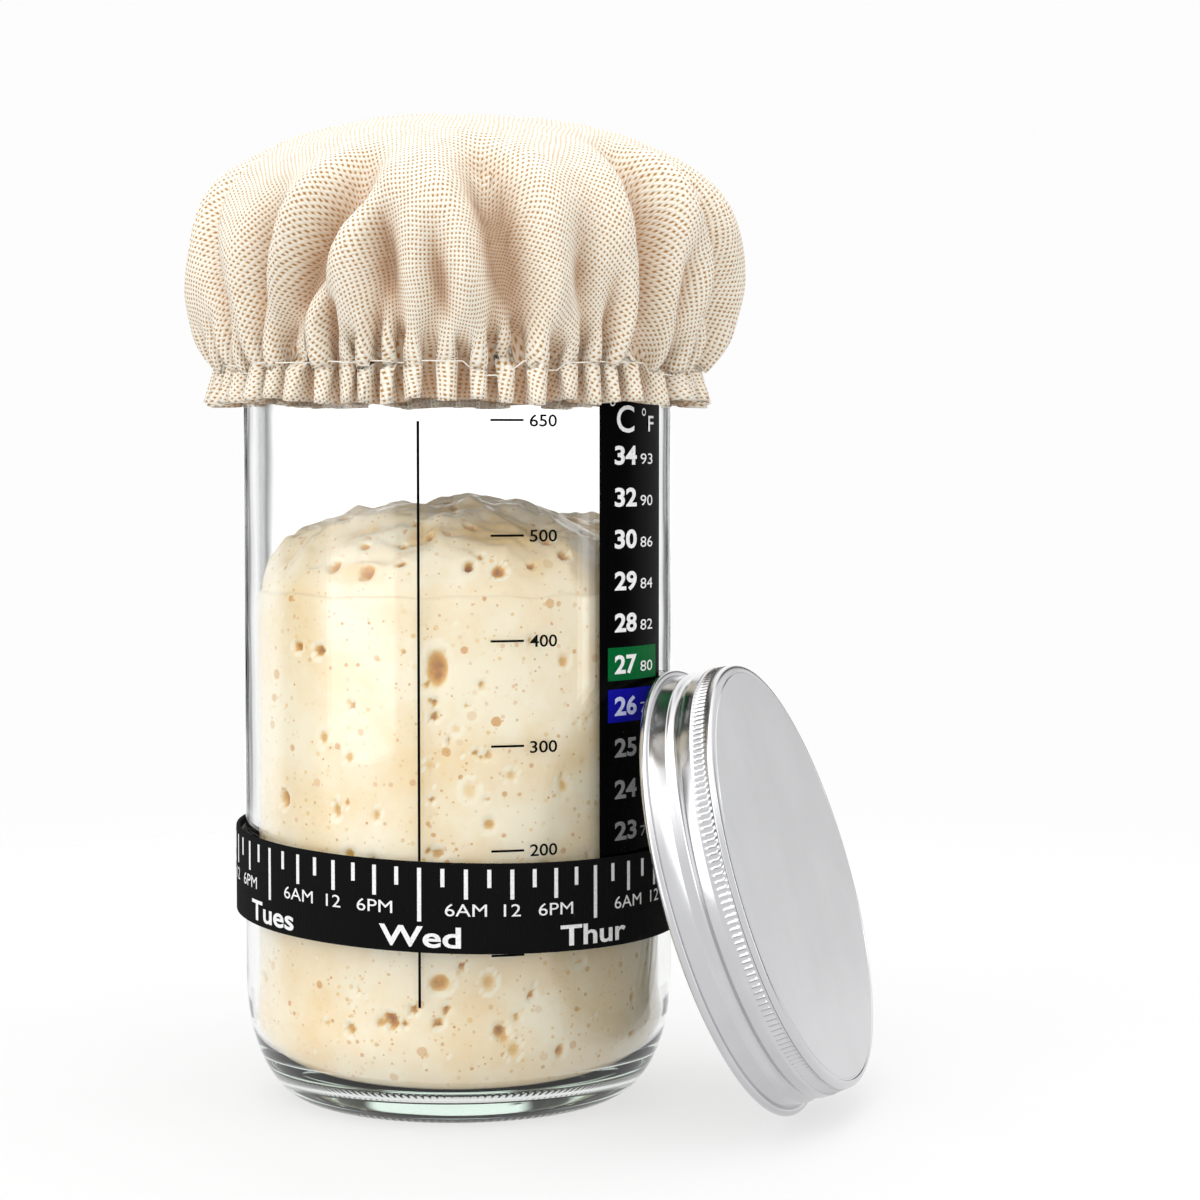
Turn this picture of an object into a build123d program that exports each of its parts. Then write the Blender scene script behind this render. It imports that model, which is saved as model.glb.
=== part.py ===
"""A glass sourdough starter jar with its contents: a wide-mouth cylinder with a screw neck, a gathered
cloth cover, an elastic day band, a stick-on strip thermometer and a metal screw lid that leans on it.

Millimetres. +Z is up, the origin is the centre of the jar's foot, and -Y is the front of the jar, where
the pointer line and the volume ticks are. Azimuths are degrees round +Z from the front, towards +X.
"""

from build123d import *
import math
import os

os.makedirs("parts", exist_ok=True)

# Jar
BODY_RADIUS = 42.5
JAR_HEIGHT = 177.0
GLASS_WALL = 2.5
HEEL_WIDTH = 12.0
HEEL_HEIGHT = 24.0
FLOOR_LEVEL = 5.6
INNER_HEEL_WIDTH = 9.0
INNER_HEEL_HEIGHT = 12.0
FOOT_RING_WIDTH = 3.6
FOOT_RECESS = 1.6
CUT_OVERRUN = 1.0

# Neck and its screw thread
NECK_HEIGHT = 17.0
NECK_INSET = 2.2
NECK_WALL = 3.1
SHOULDER_HEIGHT = 6.0
SHOULDER_ROUND = 5.0
RIM_ROUND_SHARE = 0.42
BEAD_RADIUS = 1.1
BEAD_LIFT = 2.6
THREAD_PITCH = 5.08
THREAD_TURNS = 1.25
THREAD_DEPTH = 1.5
THREAD_BASE = 3.0
THREAD_CREST = 1.3
THREAD_ROOT = 0.6
THREAD_BELOW_RIM = 10.4

# Starter, the dough in the jar
STARTER_LEVEL = 100.0
STARTER_CROWN = 18.3
STARTER_GAP = 0.1

# Printed scale on the glass
INK_GAP = 0.02
INK_THICKNESS = 0.08
POINTER_WIDTH = 0.5
POINTER_AZIMUTH = -7.3
POINTER_MARGIN = 0.3
POINTER_LENGTH = 109.3
TICK_WIDTH = 0.42
TICK_LENGTH = 6.3
TICK_AZIMUTH = 10.8
TICK_LOWEST = 34.0
TICK_SPACING = 19.6
TICK_TOP_SPACING = 21.4
TICK_COUNT = 6

# Stick-on strip thermometer
STRIP_WIDTH = 20.0
STRIP_THICKNESS = 0.16
STRIP_LENGTH = 102.0
STRIP_LOW = 46.0
STRIP_AZIMUTH = 41.4
CELL_COUNT = 10
CELL_PITCH = 7.95
CELL_HEIGHT = 6.3
CELL_INSET = 2.0
CELL_THICKNESS = 0.06
CELL_LOWEST = 55.8
BLUE_CELL = 3
GREEN_CELL = 4

# Elastic day band
BAND_HEIGHT = 17.0
BAND_MID_HEIGHT = 44.5
BAND_TILT = 2.4
BAND_LOW_AZIMUTH = 50.0
BAND_RUNNING_GAP = 0.22
RUBBER_THICKNESS = 0.4
RUBBER_MARGIN = 1.3
WEB_GAP = 0.12
WEB_THICKNESS = 0.9
MARK_THICKNESS = 0.06
MARK_WIDTH = 0.75
MARK_TOP_MARGIN = 1.1
LONG_MARK = 10.0
MIDDLE_MARK = 5.6
SHORT_MARK = 3.4
DAY_ANGLE = 44.9
DAY_AZIMUTH = -6.9
DAY_COUNT = 7
MARKS_PER_DAY = 8
POINTED_DAY = 3
LAP_LENGTH = 15.0
LAP_THICKNESS = 0.8
LAP_GAP = 0.05
SEAM_STITCH_LENGTH = 2.0
SEAM_STITCH_WIDTH = 0.4
SEAM_STITCH_THICKNESS = 0.15
SEAM_STITCH_MARGIN = 2.4
SEAM_STITCH_COUNT = 5

# Cloth cover
COVER_RISE = 18.3
COVER_BULGE = 9.0
HEM_LINE_BELOW_RIM = 32.5
RUFFLE_LENGTH = 7.0
FOLD_DEPTH = 4.4
CLOTH_WALL = 0.8
COVER_GAP = 0.5
ELASTIC_THICKNESS = 0.8
ELASTIC_WIDTH = 3.6
ELASTIC_GAP = 0.45
STITCH_LENGTH = 2.2
STITCH_WIDTH = 0.45
STITCH_THICKNESS = 0.3
STITCH_GAP = 0.3

# (height between hem and crown, stand-out between the elastic line and the bulge, fold depth)
HEM_RING_SHARES = (0.0, 0.12, 0.78)
WAIST_RING_SHARES = (0.121, 0.0, 0.62)
SIDE_RING_SHARES = [
    HEM_RING_SHARES,
    WAIST_RING_SHARES,
    (0.2, 0.47, 0.95),
    (0.325, 0.88, 1.0),
    (0.476, 1.0, 0.78),
    (0.65, 0.78, 0.42),
]
# (height between hem and crown, radius in the bulge's radius, fold depth)
CROWN_RING_SHARES = [
    (0.8, 0.845, 0.2),
    (0.87, 0.745, 0.08),
    (0.94, 0.55, 0.0),
    (0.985, 0.27, 0.0),
    (1.0, 0.07, 0.0),
]
# (crest width, valley width, depth) of each main fold in turn, from the front towards the right
FOLD_SHARES = [
    (1.5, 1.0, 1.0),
    (1.0, 0.7, 0.75),
    (1.3, 0.8, 0.9),
    (0.8, 0.7, 0.7),
    (1.2, 1.0, 1.0),
    (1.0, 0.7, 0.8),
    (1.4, 0.8, 0.95),
    (0.9, 0.7, 0.7),
    (1.1, 0.9, 0.9),
    (1.3, 0.8, 0.8),
    (0.9, 0.7, 1.0),
    (1.4, 0.9, 0.85),
    (1.0, 0.7, 0.7),
    (1.2, 0.8, 0.95),
    (0.9, 0.8, 0.75),
    (1.3, 0.9, 1.0),
    (0.8, 0.7, 0.7),
    (1.1, 0.8, 0.9),
]

# Screw lid
LID_HEIGHT = 14.0
LID_SHEET = 0.5
LID_THREAD_GAP = 0.4
LID_EDGE_ROUND = 1.2
LID_TAPER = 0.5
CURL_RADIUS = 0.85
CURL_OVERHANG = 1.9
GROOVE_DEPTH = 0.8
GROOVE_WIDTH = 2.4
GROOVE_LIFT = 6.4
KNURL_WIDTH = 2.7
KNURL_BELOW_FACE = 1.3
KNURL_COUNT = 210
KNURL_DEPTH = 0.25
LINER_THICKNESS = 1.2
LINER_GAP = 0.2
LINER_SEAT = 0.05
LID_LEAN = 17.5
LID_AZIMUTH = 72.7
LEAN_GAP = 0.45

# Worked out from the sizes above
FOOT_RADIUS = BODY_RADIUS - HEEL_WIDTH
INNER_RADIUS = BODY_RADIUS - GLASS_WALL
NECK_RADIUS = BODY_RADIUS - NECK_INSET
MOUTH_RADIUS = NECK_RADIUS - NECK_WALL
NECK_LOW = JAR_HEIGHT - NECK_HEIGHT
SHOULDER_LOW = NECK_LOW - SHOULDER_HEIGHT
INK_RADIUS = BODY_RADIUS + INK_GAP
STRIP_OUTSIDE = INK_RADIUS + STRIP_THICKNESS
CELL_OUTSIDE = STRIP_OUTSIDE + INK_GAP + CELL_THICKNESS
RUBBER_INSIDE = CELL_OUTSIDE + BAND_RUNNING_GAP
RUBBER_OUTSIDE = RUBBER_INSIDE + RUBBER_THICKNESS
WEB_INSIDE = RUBBER_OUTSIDE + WEB_GAP
WEB_OUTSIDE = WEB_INSIDE + WEB_THICKNESS
LAP_OUTSIDE = WEB_OUTSIDE + LAP_GAP + LAP_THICKNESS
ELASTIC_INSIDE = BODY_RADIUS + COVER_GAP
ELASTIC_OUTSIDE = ELASTIC_INSIDE + ELASTIC_THICKNESS
HEM_LINE = JAR_HEIGHT - HEM_LINE_BELOW_RIM
HEM_EDGE = HEM_LINE - RUFFLE_LENGTH
CROWN_TOP = JAR_HEIGHT + COVER_RISE
WAIST_RADIUS = ELASTIC_OUTSIDE + ELASTIC_GAP + CLOTH_WALL + FOLD_DEPTH * WAIST_RING_SHARES[2]
BULGE_RADIUS = WAIST_RADIUS + COVER_BULGE
LID_RADIUS = NECK_RADIUS + THREAD_DEPTH + LID_THREAD_GAP + LID_SHEET
CURL_RING_RADIUS = LID_RADIUS + CURL_OVERHANG - CURL_RADIUS


def round_axis(azimuth):
    """The upright plane through the jar's axis at an azimuth: x runs outwards and y runs up."""
    turn = math.radians(azimuth)
    out = (math.sin(turn), -math.cos(turn), 0)
    return Plane(origin=(0, 0, 0), x_dir=out, z_dir=(-math.cos(turn), -math.sin(turn), 0))


def facing(azimuth, radius, height):
    """The plane that touches the round of that radius at an azimuth: x runs right and y runs up."""
    turn = math.radians(azimuth)
    out = (math.sin(turn), -math.cos(turn), 0)
    place = (radius * math.sin(turn), -radius * math.cos(turn), height)
    return Plane(origin=place, x_dir=(math.cos(turn), math.sin(turn), 0), z_dir=out)


def arc_degrees(length, radius):
    return math.degrees(length / radius)


def finish(piece, name):
    piece.part.label = name
    export_step(piece.part, f"parts/{name}.step")


# Glass jar with its neck, thread and transfer bead
with BuildPart() as jar:
    with BuildSketch(Plane.XZ):
        with BuildLine():
            Line((0, 0), (FOOT_RADIUS, 0))
            EllipticalCenterArc((FOOT_RADIUS, HEEL_HEIGHT), HEEL_WIDTH, HEEL_HEIGHT, start_angle=270, arc_size=90)
            FilletPolyline(
                (BODY_RADIUS, HEEL_HEIGHT),
                (BODY_RADIUS, SHOULDER_LOW),
                (NECK_RADIUS, NECK_LOW),
                (NECK_RADIUS, JAR_HEIGHT),
                radius=(SHOULDER_ROUND, SHOULDER_ROUND),
            )
            Polyline((NECK_RADIUS, JAR_HEIGHT), (0, JAR_HEIGHT), (0, 0))
        make_face()
    revolve(axis=Axis.Z)
    with BuildSketch(Plane.XZ):
        with Locations((NECK_RADIUS, NECK_LOW + BEAD_LIFT)):
            Circle(BEAD_RADIUS)
    revolve(axis=Axis.Z)
    with BuildSketch(Plane.XZ):
        with BuildLine():
            Line((0, FLOOR_LEVEL), (INNER_RADIUS - INNER_HEEL_WIDTH, FLOOR_LEVEL))
            EllipticalCenterArc(
                (INNER_RADIUS - INNER_HEEL_WIDTH, FLOOR_LEVEL + INNER_HEEL_HEIGHT),
                INNER_HEEL_WIDTH,
                INNER_HEEL_HEIGHT,
                start_angle=270,
                arc_size=90,
            )
            FilletPolyline(
                (INNER_RADIUS, FLOOR_LEVEL + INNER_HEEL_HEIGHT),
                (INNER_RADIUS, SHOULDER_LOW),
                (MOUTH_RADIUS, NECK_LOW),
                (MOUTH_RADIUS, JAR_HEIGHT + CUT_OVERRUN),
                radius=(SHOULDER_ROUND, SHOULDER_ROUND),
            )
            Polyline(
                (MOUTH_RADIUS, JAR_HEIGHT + CUT_OVERRUN),
                (0, JAR_HEIGHT + CUT_OVERRUN),
                (0, FLOOR_LEVEL),
            )
        make_face()
    revolve(axis=Axis.Z, mode=Mode.SUBTRACT)
    rim = jar.edges().filter_by(GeomType.CIRCLE).group_by(Axis.Z)[-1]
    fillet(rim, NECK_WALL * RIM_ROUND_SHARE)
    with BuildSketch(Plane.XY):
        Circle(FOOT_RADIUS - FOOT_RING_WIDTH)
    extrude(amount=FOOT_RECESS, taper=45, mode=Mode.SUBTRACT)
    with BuildLine() as thread_path:
        Helix(
            pitch=THREAD_PITCH,
            height=THREAD_PITCH * THREAD_TURNS,
            radius=NECK_RADIUS,
            center=(0, 0, JAR_HEIGHT - THREAD_BELOW_RIM),
        )
    with BuildSketch(Plane(origin=thread_path.line @ 0, x_dir=(1, 0, 0), z_dir=thread_path.line % 0)):
        with BuildLine():
            Polyline(
                (-THREAD_ROOT, THREAD_BASE / 2),
                (0, THREAD_BASE / 2),
                (THREAD_DEPTH, THREAD_CREST / 2),
                (THREAD_DEPTH, -THREAD_CREST / 2),
                (0, -THREAD_BASE / 2),
                (-THREAD_ROOT, -THREAD_BASE / 2),
                close=True,
            )
        make_face()
    sweep(path=thread_path.line, is_frenet=True)
finish(jar, "glass_jar")

# Starter: it fills the jar to its level and domes above it
starter_radius = INNER_RADIUS - STARTER_GAP
starter_floor = FLOOR_LEVEL + STARTER_GAP
with BuildPart() as starter:
    with BuildSketch(Plane.XZ):
        with BuildLine():
            Line((0, starter_floor), (starter_radius - INNER_HEEL_WIDTH, starter_floor))
            EllipticalCenterArc(
                (starter_radius - INNER_HEEL_WIDTH, starter_floor + INNER_HEEL_HEIGHT),
                INNER_HEEL_WIDTH,
                INNER_HEEL_HEIGHT,
                start_angle=270,
                arc_size=90,
            )
            Line((starter_radius, starter_floor + INNER_HEEL_HEIGHT), (starter_radius, STARTER_LEVEL))
            Polyline((starter_radius, STARTER_LEVEL), (0, STARTER_LEVEL), (0, starter_floor))
        make_face()
    revolve(axis=Axis.Z)
    with BuildSketch(Plane.XZ):
        with BuildLine():
            EllipticalCenterArc((0, STARTER_LEVEL), starter_radius, STARTER_CROWN, start_angle=0, arc_size=90)
            Polyline((0, STARTER_LEVEL + STARTER_CROWN), (0, STARTER_LEVEL), (starter_radius, STARTER_LEVEL))
        make_face()
    revolve(axis=Axis.Z)
finish(starter, "sourdough_starter")

# Pointer line, printed up the front of the glass
pointer_low = HEEL_HEIGHT + POINTER_MARGIN
pointer_sweep = arc_degrees(POINTER_WIDTH, BODY_RADIUS)
with BuildPart() as pointer:
    with BuildSketch(round_axis(POINTER_AZIMUTH - pointer_sweep / 2)):
        with Locations((INK_RADIUS, pointer_low)):
            Rectangle(INK_THICKNESS, POINTER_LENGTH, align=(Align.MIN, Align.MIN))
    revolve(axis=Axis.Z, revolution_arc=pointer_sweep)
finish(pointer, "pointer_line")

# Volume ticks: five steps of a hundred millilitres and a wider one to the top mark
tick_heights = [TICK_LOWEST + TICK_SPACING * step for step in range(TICK_COUNT - 1)]
tick_heights.append(tick_heights[-1] + TICK_TOP_SPACING)
with BuildPart() as ticks:
    with BuildSketch(round_axis(TICK_AZIMUTH)):
        with Locations(*[(INK_RADIUS, height) for height in tick_heights]):
            Rectangle(INK_THICKNESS, TICK_WIDTH, align=(Align.MIN, Align.CENTER))
    revolve(axis=Axis.Z, revolution_arc=arc_degrees(TICK_LENGTH, BODY_RADIUS))
finish(ticks, "volume_ticks")

# Strip thermometer: a black film with a column of temperature cells on it
with BuildPart() as strip:
    with BuildSketch(round_axis(STRIP_AZIMUTH)):
        with Locations((INK_RADIUS, STRIP_LOW)):
            Rectangle(STRIP_THICKNESS, STRIP_LENGTH, align=(Align.MIN, Align.MIN))
    revolve(axis=Axis.Z, revolution_arc=arc_degrees(STRIP_WIDTH, BODY_RADIUS))
finish(strip, "thermometer_film")

cell_azimuth = STRIP_AZIMUTH + arc_degrees(CELL_INSET, BODY_RADIUS)
cell_sweep = arc_degrees(STRIP_WIDTH - 2 * CELL_INSET, BODY_RADIUS)
plain_cells = [row for row in range(CELL_COUNT) if row not in (BLUE_CELL, GREEN_CELL)]
cell_groups = {
    "thermometer_cells": plain_cells,
    "thermometer_blue_cell": [BLUE_CELL],
    "thermometer_green_cell": [GREEN_CELL],
}
for cell_name, cell_rows in cell_groups.items():
    with BuildPart() as cells:
        with BuildSketch(round_axis(cell_azimuth)):
            with Locations(*[(STRIP_OUTSIDE + INK_GAP, CELL_LOWEST + CELL_PITCH * row) for row in cell_rows]):
                Rectangle(CELL_THICKNESS, CELL_HEIGHT, align=(Align.MIN, Align.CENTER))
        revolve(axis=Axis.Z, revolution_arc=cell_sweep)
    finish(cells, cell_name)

# Day band: a loop of woven elastic that sits aslant, so its edges are cut by two tilted planes
low_turn = math.radians(BAND_LOW_AZIMUTH)
tilt = math.radians(BAND_TILT)
band_normal = (
    math.sin(tilt) * math.sin(low_turn),
    -math.sin(tilt) * math.cos(low_turn),
    math.cos(tilt),
)


def band_height(azimuth, radius, level):
    """Height above the floor of a level of the slanting band, at an azimuth and a radius."""
    along = math.cos(math.radians(azimuth - BAND_LOW_AZIMUTH))
    return BAND_MID_HEIGHT + level / math.cos(tilt) - radius * math.tan(tilt) * along


def band_plane(level):
    return Plane(origin=(0, 0, BAND_MID_HEIGHT + level / math.cos(tilt)), z_dir=band_normal)


def band_ring(inside, outside, half_height):
    """A round sleeve between the two tilted planes of the band."""
    reach = half_height + outside * math.tan(tilt) + CUT_OVERRUN
    with BuildPart() as ring:
        with BuildSketch(Plane.XY.offset(BAND_MID_HEIGHT - reach)):
            Circle(outside)
            Circle(inside, mode=Mode.SUBTRACT)
        extrude(amount=2 * reach)
        split(bisect_by=band_plane(half_height), keep=Keep.BOTTOM)
        split(bisect_by=band_plane(-half_height), keep=Keep.TOP)
    return ring


rubber = band_ring(RUBBER_INSIDE, RUBBER_OUTSIDE, BAND_HEIGHT / 2 - RUBBER_MARGIN)
finish(rubber, "band_rubber")
web = band_ring(WEB_INSIDE, WEB_OUTSIDE, BAND_HEIGHT / 2)
finish(web, "band_webbing")

# Day marks: a long one at midnight, a middle one every six hours and short ones between
with BuildPart() as marks:
    for mark in range(DAY_COUNT * MARKS_PER_DAY):
        if mark % MARKS_PER_DAY == 0:
            length = LONG_MARK
        elif mark % 2 == 0:
            length = MIDDLE_MARK
        else:
            length = SHORT_MARK
        azimuth = DAY_AZIMUTH + DAY_ANGLE * (mark / MARKS_PER_DAY - POINTED_DAY)
        top = band_height(azimuth, WEB_OUTSIDE, BAND_HEIGHT / 2 - MARK_TOP_MARGIN)
        sweep_angle = arc_degrees(MARK_WIDTH, WEB_OUTSIDE)
        with BuildSketch(round_axis(azimuth - sweep_angle / 2)):
            with Locations((WEB_OUTSIDE + INK_GAP, top)):
                Rectangle(MARK_THICKNESS, length, align=(Align.MIN, Align.MAX))
        revolve(axis=Axis.Z, revolution_arc=sweep_angle)
finish(marks, "band_marks")

# Lap of the band's seam, at the middle of the blank stretch, and its stitches
first_mark = DAY_AZIMUTH - DAY_ANGLE * POINTED_DAY
last_mark = first_mark + DAY_ANGLE * (DAY_COUNT - 1 / MARKS_PER_DAY)
seam_azimuth = (first_mark + last_mark + 360) / 2
lap_sweep = arc_degrees(LAP_LENGTH, WEB_OUTSIDE)
with BuildPart() as lap:
    with BuildSketch(round_axis(seam_azimuth - lap_sweep / 2)):
        with Locations((WEB_OUTSIDE + LAP_GAP, BAND_MID_HEIGHT)):
            Rectangle(LAP_THICKNESS, 2 * BAND_HEIGHT, align=(Align.MIN, Align.CENTER))
    revolve(axis=Axis.Z, revolution_arc=lap_sweep)
    split(bisect_by=band_plane(BAND_HEIGHT / 2), keep=Keep.BOTTOM)
    split(bisect_by=band_plane(-BAND_HEIGHT / 2), keep=Keep.TOP)
finish(lap, "band_seam_lap")

seam_span = BAND_HEIGHT - 2 * SEAM_STITCH_MARGIN
with BuildPart() as seam_stitches:
    for side in (-1, 1):
        azimuth = seam_azimuth + side * (lap_sweep / 2 - arc_degrees(SEAM_STITCH_MARGIN, LAP_OUTSIDE))
        for row in range(SEAM_STITCH_COUNT):
            level = seam_span * (row / (SEAM_STITCH_COUNT - 1) - 1 / 2)
            height = band_height(azimuth, LAP_OUTSIDE, level)
            sweep_angle = arc_degrees(SEAM_STITCH_WIDTH, LAP_OUTSIDE)
            with BuildSketch(round_axis(azimuth - sweep_angle / 2)):
                with Locations((LAP_OUTSIDE + INK_GAP, height)):
                    Rectangle(SEAM_STITCH_THICKNESS, SEAM_STITCH_LENGTH, align=(Align.MIN, Align.CENTER))
            revolve(axis=Axis.Z, revolution_arc=sweep_angle)
finish(seam_stitches, "band_seam_stitches")

# Cloth cover: a puffed shell whose folds gather at the elastic and open into a short ruffle
fold_total = sum(crest + valley for crest, valley, depth in FOLD_SHARES)


def ring_point(radius, turn):
    return (radius * math.sin(turn), -radius * math.cos(turn))


def fold_ring(crest_radius, depth):
    """Draws one closed ring of the cloth, an arc over each crest and an arc through each valley."""
    boundary = crest_radius - depth / 2
    turn = 0
    for crest, valley, share in FOLD_SHARES:
        over = turn + math.tau * crest / fold_total
        through = over + math.tau * valley / fold_total
        ThreePointArc(
            ring_point(boundary, turn),
            ring_point(crest_radius, (turn + over) / 2),
            ring_point(boundary, over),
        )
        ThreePointArc(
            ring_point(boundary, over),
            ring_point(crest_radius - depth / 2 - depth * share / 2, (over + through) / 2),
            ring_point(boundary, through),
        )
        turn = through


def cloth_rings(inset):
    """(height, crest radius, fold depth) of each ring, drawn in from the cloth's outside by an inset."""
    rise = CROWN_TOP - HEM_EDGE
    rings = []
    for up, out, fold in SIDE_RING_SHARES:
        rings.append((HEM_EDGE + rise * up - inset, WAIST_RADIUS + COVER_BULGE * out - inset, FOLD_DEPTH * fold))
    for up, out, fold in CROWN_RING_SHARES:
        rings.append((HEM_EDGE + rise * up - inset, BULGE_RADIUS * out - inset, FOLD_DEPTH * fold))
    return rings


with BuildPart() as cover:
    for height, crest_radius, depth in cloth_rings(0):
        with BuildSketch(Plane.XY.offset(height)):
            with BuildLine():
                fold_ring(crest_radius, depth)
            make_face()
    loft()
    for height, crest_radius, depth in cloth_rings(CLOTH_WALL):
        with BuildSketch(Plane.XY.offset(height)):
            with BuildLine():
                fold_ring(crest_radius, depth)
            make_face()
    loft(mode=Mode.SUBTRACT)
finish(cover, "cover_cloth")

with BuildPart() as elastic:
    with BuildSketch(Plane.XY.offset(HEM_LINE - ELASTIC_WIDTH / 2)):
        Circle(ELASTIC_OUTSIDE)
        Circle(ELASTIC_INSIDE, mode=Mode.SUBTRACT)
    extrude(amount=ELASTIC_WIDTH)
finish(elastic, "cover_elastic")

# Stitches that hold the elastic, one over the crest of each fold
with BuildPart() as cover_stitches:
    turn = 0
    for crest, valley, share in FOLD_SHARES:
        azimuth = math.degrees(turn + math.pi * crest / fold_total)
        with BuildSketch(facing(azimuth, WAIST_RADIUS + STITCH_GAP, HEM_LINE)):
            SlotOverall(STITCH_LENGTH, STITCH_WIDTH)
        extrude(amount=STITCH_THICKNESS)
        turn += math.tau * (crest + valley) / fold_total
finish(cover_stitches, "cover_stitches")

# Screw lid: it leans back on the jar with its open side towards the glass
lean = math.radians(LID_LEAN)
lid_turn = math.radians(LID_AZIMUTH)
lid_normal = Vector(
    math.cos(lean) * math.sin(lid_turn),
    -math.cos(lean) * math.cos(lid_turn),
    math.sin(lean),
)
lid_side = Vector(math.cos(lid_turn), math.sin(lid_turn), 0)
curl_out = BODY_RADIUS + LEAN_GAP + CURL_RADIUS + CURL_RING_RADIUS * math.sin(lean)
curl_up = CURL_RING_RADIUS * math.cos(lean) + CURL_RADIUS
curl_centre = Vector(curl_out * math.sin(lid_turn), -curl_out * math.cos(lid_turn), curl_up)
lid_origin = curl_centre - lid_normal * CURL_RADIUS
lid_axis = Axis(lid_origin, lid_normal)
lid_section = Plane(origin=lid_origin, x_dir=lid_side, z_dir=lid_side.cross(lid_normal))


def lid_outline(inset, low):
    """Draws the side and top of the lid, drawn in by an inset, down to a height above its rim."""
    side = LID_RADIUS - inset
    shoulder = side - LID_TAPER
    top = LID_HEIGHT - inset
    groove_low = GROOVE_LIFT - GROOVE_WIDTH / 2
    groove_high = GROOVE_LIFT + GROOVE_WIDTH / 2
    Line((0, low), (side, low))
    Line((side, low), (side, groove_low))
    ThreePointArc((side, groove_low), (side - GROOVE_DEPTH, GROOVE_LIFT), (side, groove_high))
    FilletPolyline((side, groove_high), (shoulder, top), (0, top), radius=(LID_EDGE_ROUND,))
    Line((0, top), (0, low))


with BuildPart() as lid:
    with BuildSketch(lid_section):
        with BuildLine():
            lid_outline(0, CURL_RADIUS)
        make_face()
    revolve(axis=lid_axis)
    with BuildSketch(lid_section):
        with BuildLine():
            lid_outline(LID_SHEET, 0)
        make_face()
    revolve(axis=lid_axis, mode=Mode.SUBTRACT)
    with BuildSketch(lid_section):
        with Locations((CURL_RING_RADIUS, CURL_RADIUS)):
            Circle(CURL_RADIUS)
    revolve(axis=lid_axis)
    knurl_top = LID_HEIGHT - KNURL_BELOW_FACE
    with BuildSketch(Plane(origin=lid_origin, x_dir=lid_side, z_dir=lid_normal).offset(knurl_top)):
        with BuildLine():
            teeth = []
            for tooth in range(KNURL_COUNT):
                step = math.tau / KNURL_COUNT
                teeth.append(ring_point(LID_RADIUS, step * tooth))
                teeth.append(ring_point(LID_RADIUS - KNURL_DEPTH, step * (tooth + 1 / 2)))
            Polyline(*teeth, close=True)
        make_face()
        Circle(LID_RADIUS - LID_TAPER - LID_SHEET / 2, mode=Mode.SUBTRACT)
    extrude(amount=-KNURL_WIDTH)
finish(lid, "screw_lid")

liner_radius = LID_RADIUS - LID_TAPER - LID_SHEET - LID_EDGE_ROUND - LINER_GAP
liner_top = LID_HEIGHT - LID_SHEET - LINER_SEAT
with BuildPart() as liner:
    with BuildSketch(lid_section):
        with Locations((0, liner_top)):
            Rectangle(liner_radius, LINER_THICKNESS, align=(Align.MIN, Align.MAX))
    revolve(axis=lid_axis)
finish(liner, "lid_liner")
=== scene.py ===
"""A sourdough starter jar dressed for its portrait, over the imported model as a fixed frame.

Metres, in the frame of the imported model: +Z is up, -Y is the front of the jar, and the origin is the
centre of its foot. Azimuths are measured round +Z from the front, towards +X.
"""

import bisect
import math
import random

import bmesh
import bpy
from mathutils import Matrix, Vector, noise
from mathutils.kdtree import KDTree


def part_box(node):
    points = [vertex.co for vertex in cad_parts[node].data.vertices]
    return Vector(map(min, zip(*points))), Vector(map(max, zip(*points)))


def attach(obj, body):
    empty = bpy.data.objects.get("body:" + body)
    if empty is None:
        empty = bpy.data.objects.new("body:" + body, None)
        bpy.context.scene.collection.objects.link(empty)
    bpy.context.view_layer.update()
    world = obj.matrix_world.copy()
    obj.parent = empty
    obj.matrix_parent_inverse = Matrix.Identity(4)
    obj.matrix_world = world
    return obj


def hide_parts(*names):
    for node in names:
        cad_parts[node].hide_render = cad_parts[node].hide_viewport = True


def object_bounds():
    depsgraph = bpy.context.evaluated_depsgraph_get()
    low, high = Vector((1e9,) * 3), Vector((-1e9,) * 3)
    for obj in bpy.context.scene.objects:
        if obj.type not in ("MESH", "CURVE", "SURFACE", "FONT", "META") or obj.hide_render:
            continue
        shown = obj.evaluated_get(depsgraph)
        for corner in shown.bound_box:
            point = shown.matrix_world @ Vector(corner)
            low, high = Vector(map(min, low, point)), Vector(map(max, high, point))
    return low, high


bl_info = {
    "name": "Sourdough Starter Jar",
    "version": (1, 0, 0),
    "blender": (4, 5, 0),
    "location": "3D View > Sidebar > Starter Jar",
    "description": "Jar of risen starter with a cloth cover, a day band, a thermometer strip and a screw lid",
    "category": "Object",
}

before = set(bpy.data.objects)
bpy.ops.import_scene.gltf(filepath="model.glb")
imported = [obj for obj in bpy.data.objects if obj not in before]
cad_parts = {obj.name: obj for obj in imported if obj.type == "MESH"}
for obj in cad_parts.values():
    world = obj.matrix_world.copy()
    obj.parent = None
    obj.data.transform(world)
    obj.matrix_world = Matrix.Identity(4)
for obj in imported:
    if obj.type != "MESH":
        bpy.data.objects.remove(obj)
CAD_BOX = [list(corner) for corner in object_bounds()]

MM = 0.001
ROUND = math.tau

JAR_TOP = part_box("glass_jar")[1]
BODY_RADIUS = JAR_TOP.x
JAR_HEIGHT = JAR_TOP.z
BAND_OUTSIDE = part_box("band_webbing")[1].y


def linear(red, green, blue):
    """A screen colour, each channel from 0 to 255, as the linear light that Blender's colours hold."""
    shares = (red / 255, green / 255, blue / 255)
    return tuple(s / 12.92 if s <= 0.04045 else ((s + 0.055) / 1.055) ** 2.4 for s in shares)


def length_property(name, default, text):
    return bpy.props.FloatProperty(
        name=name, description=text, default=default, precision=5, subtype="DISTANCE", unit="LENGTH"
    )


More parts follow.
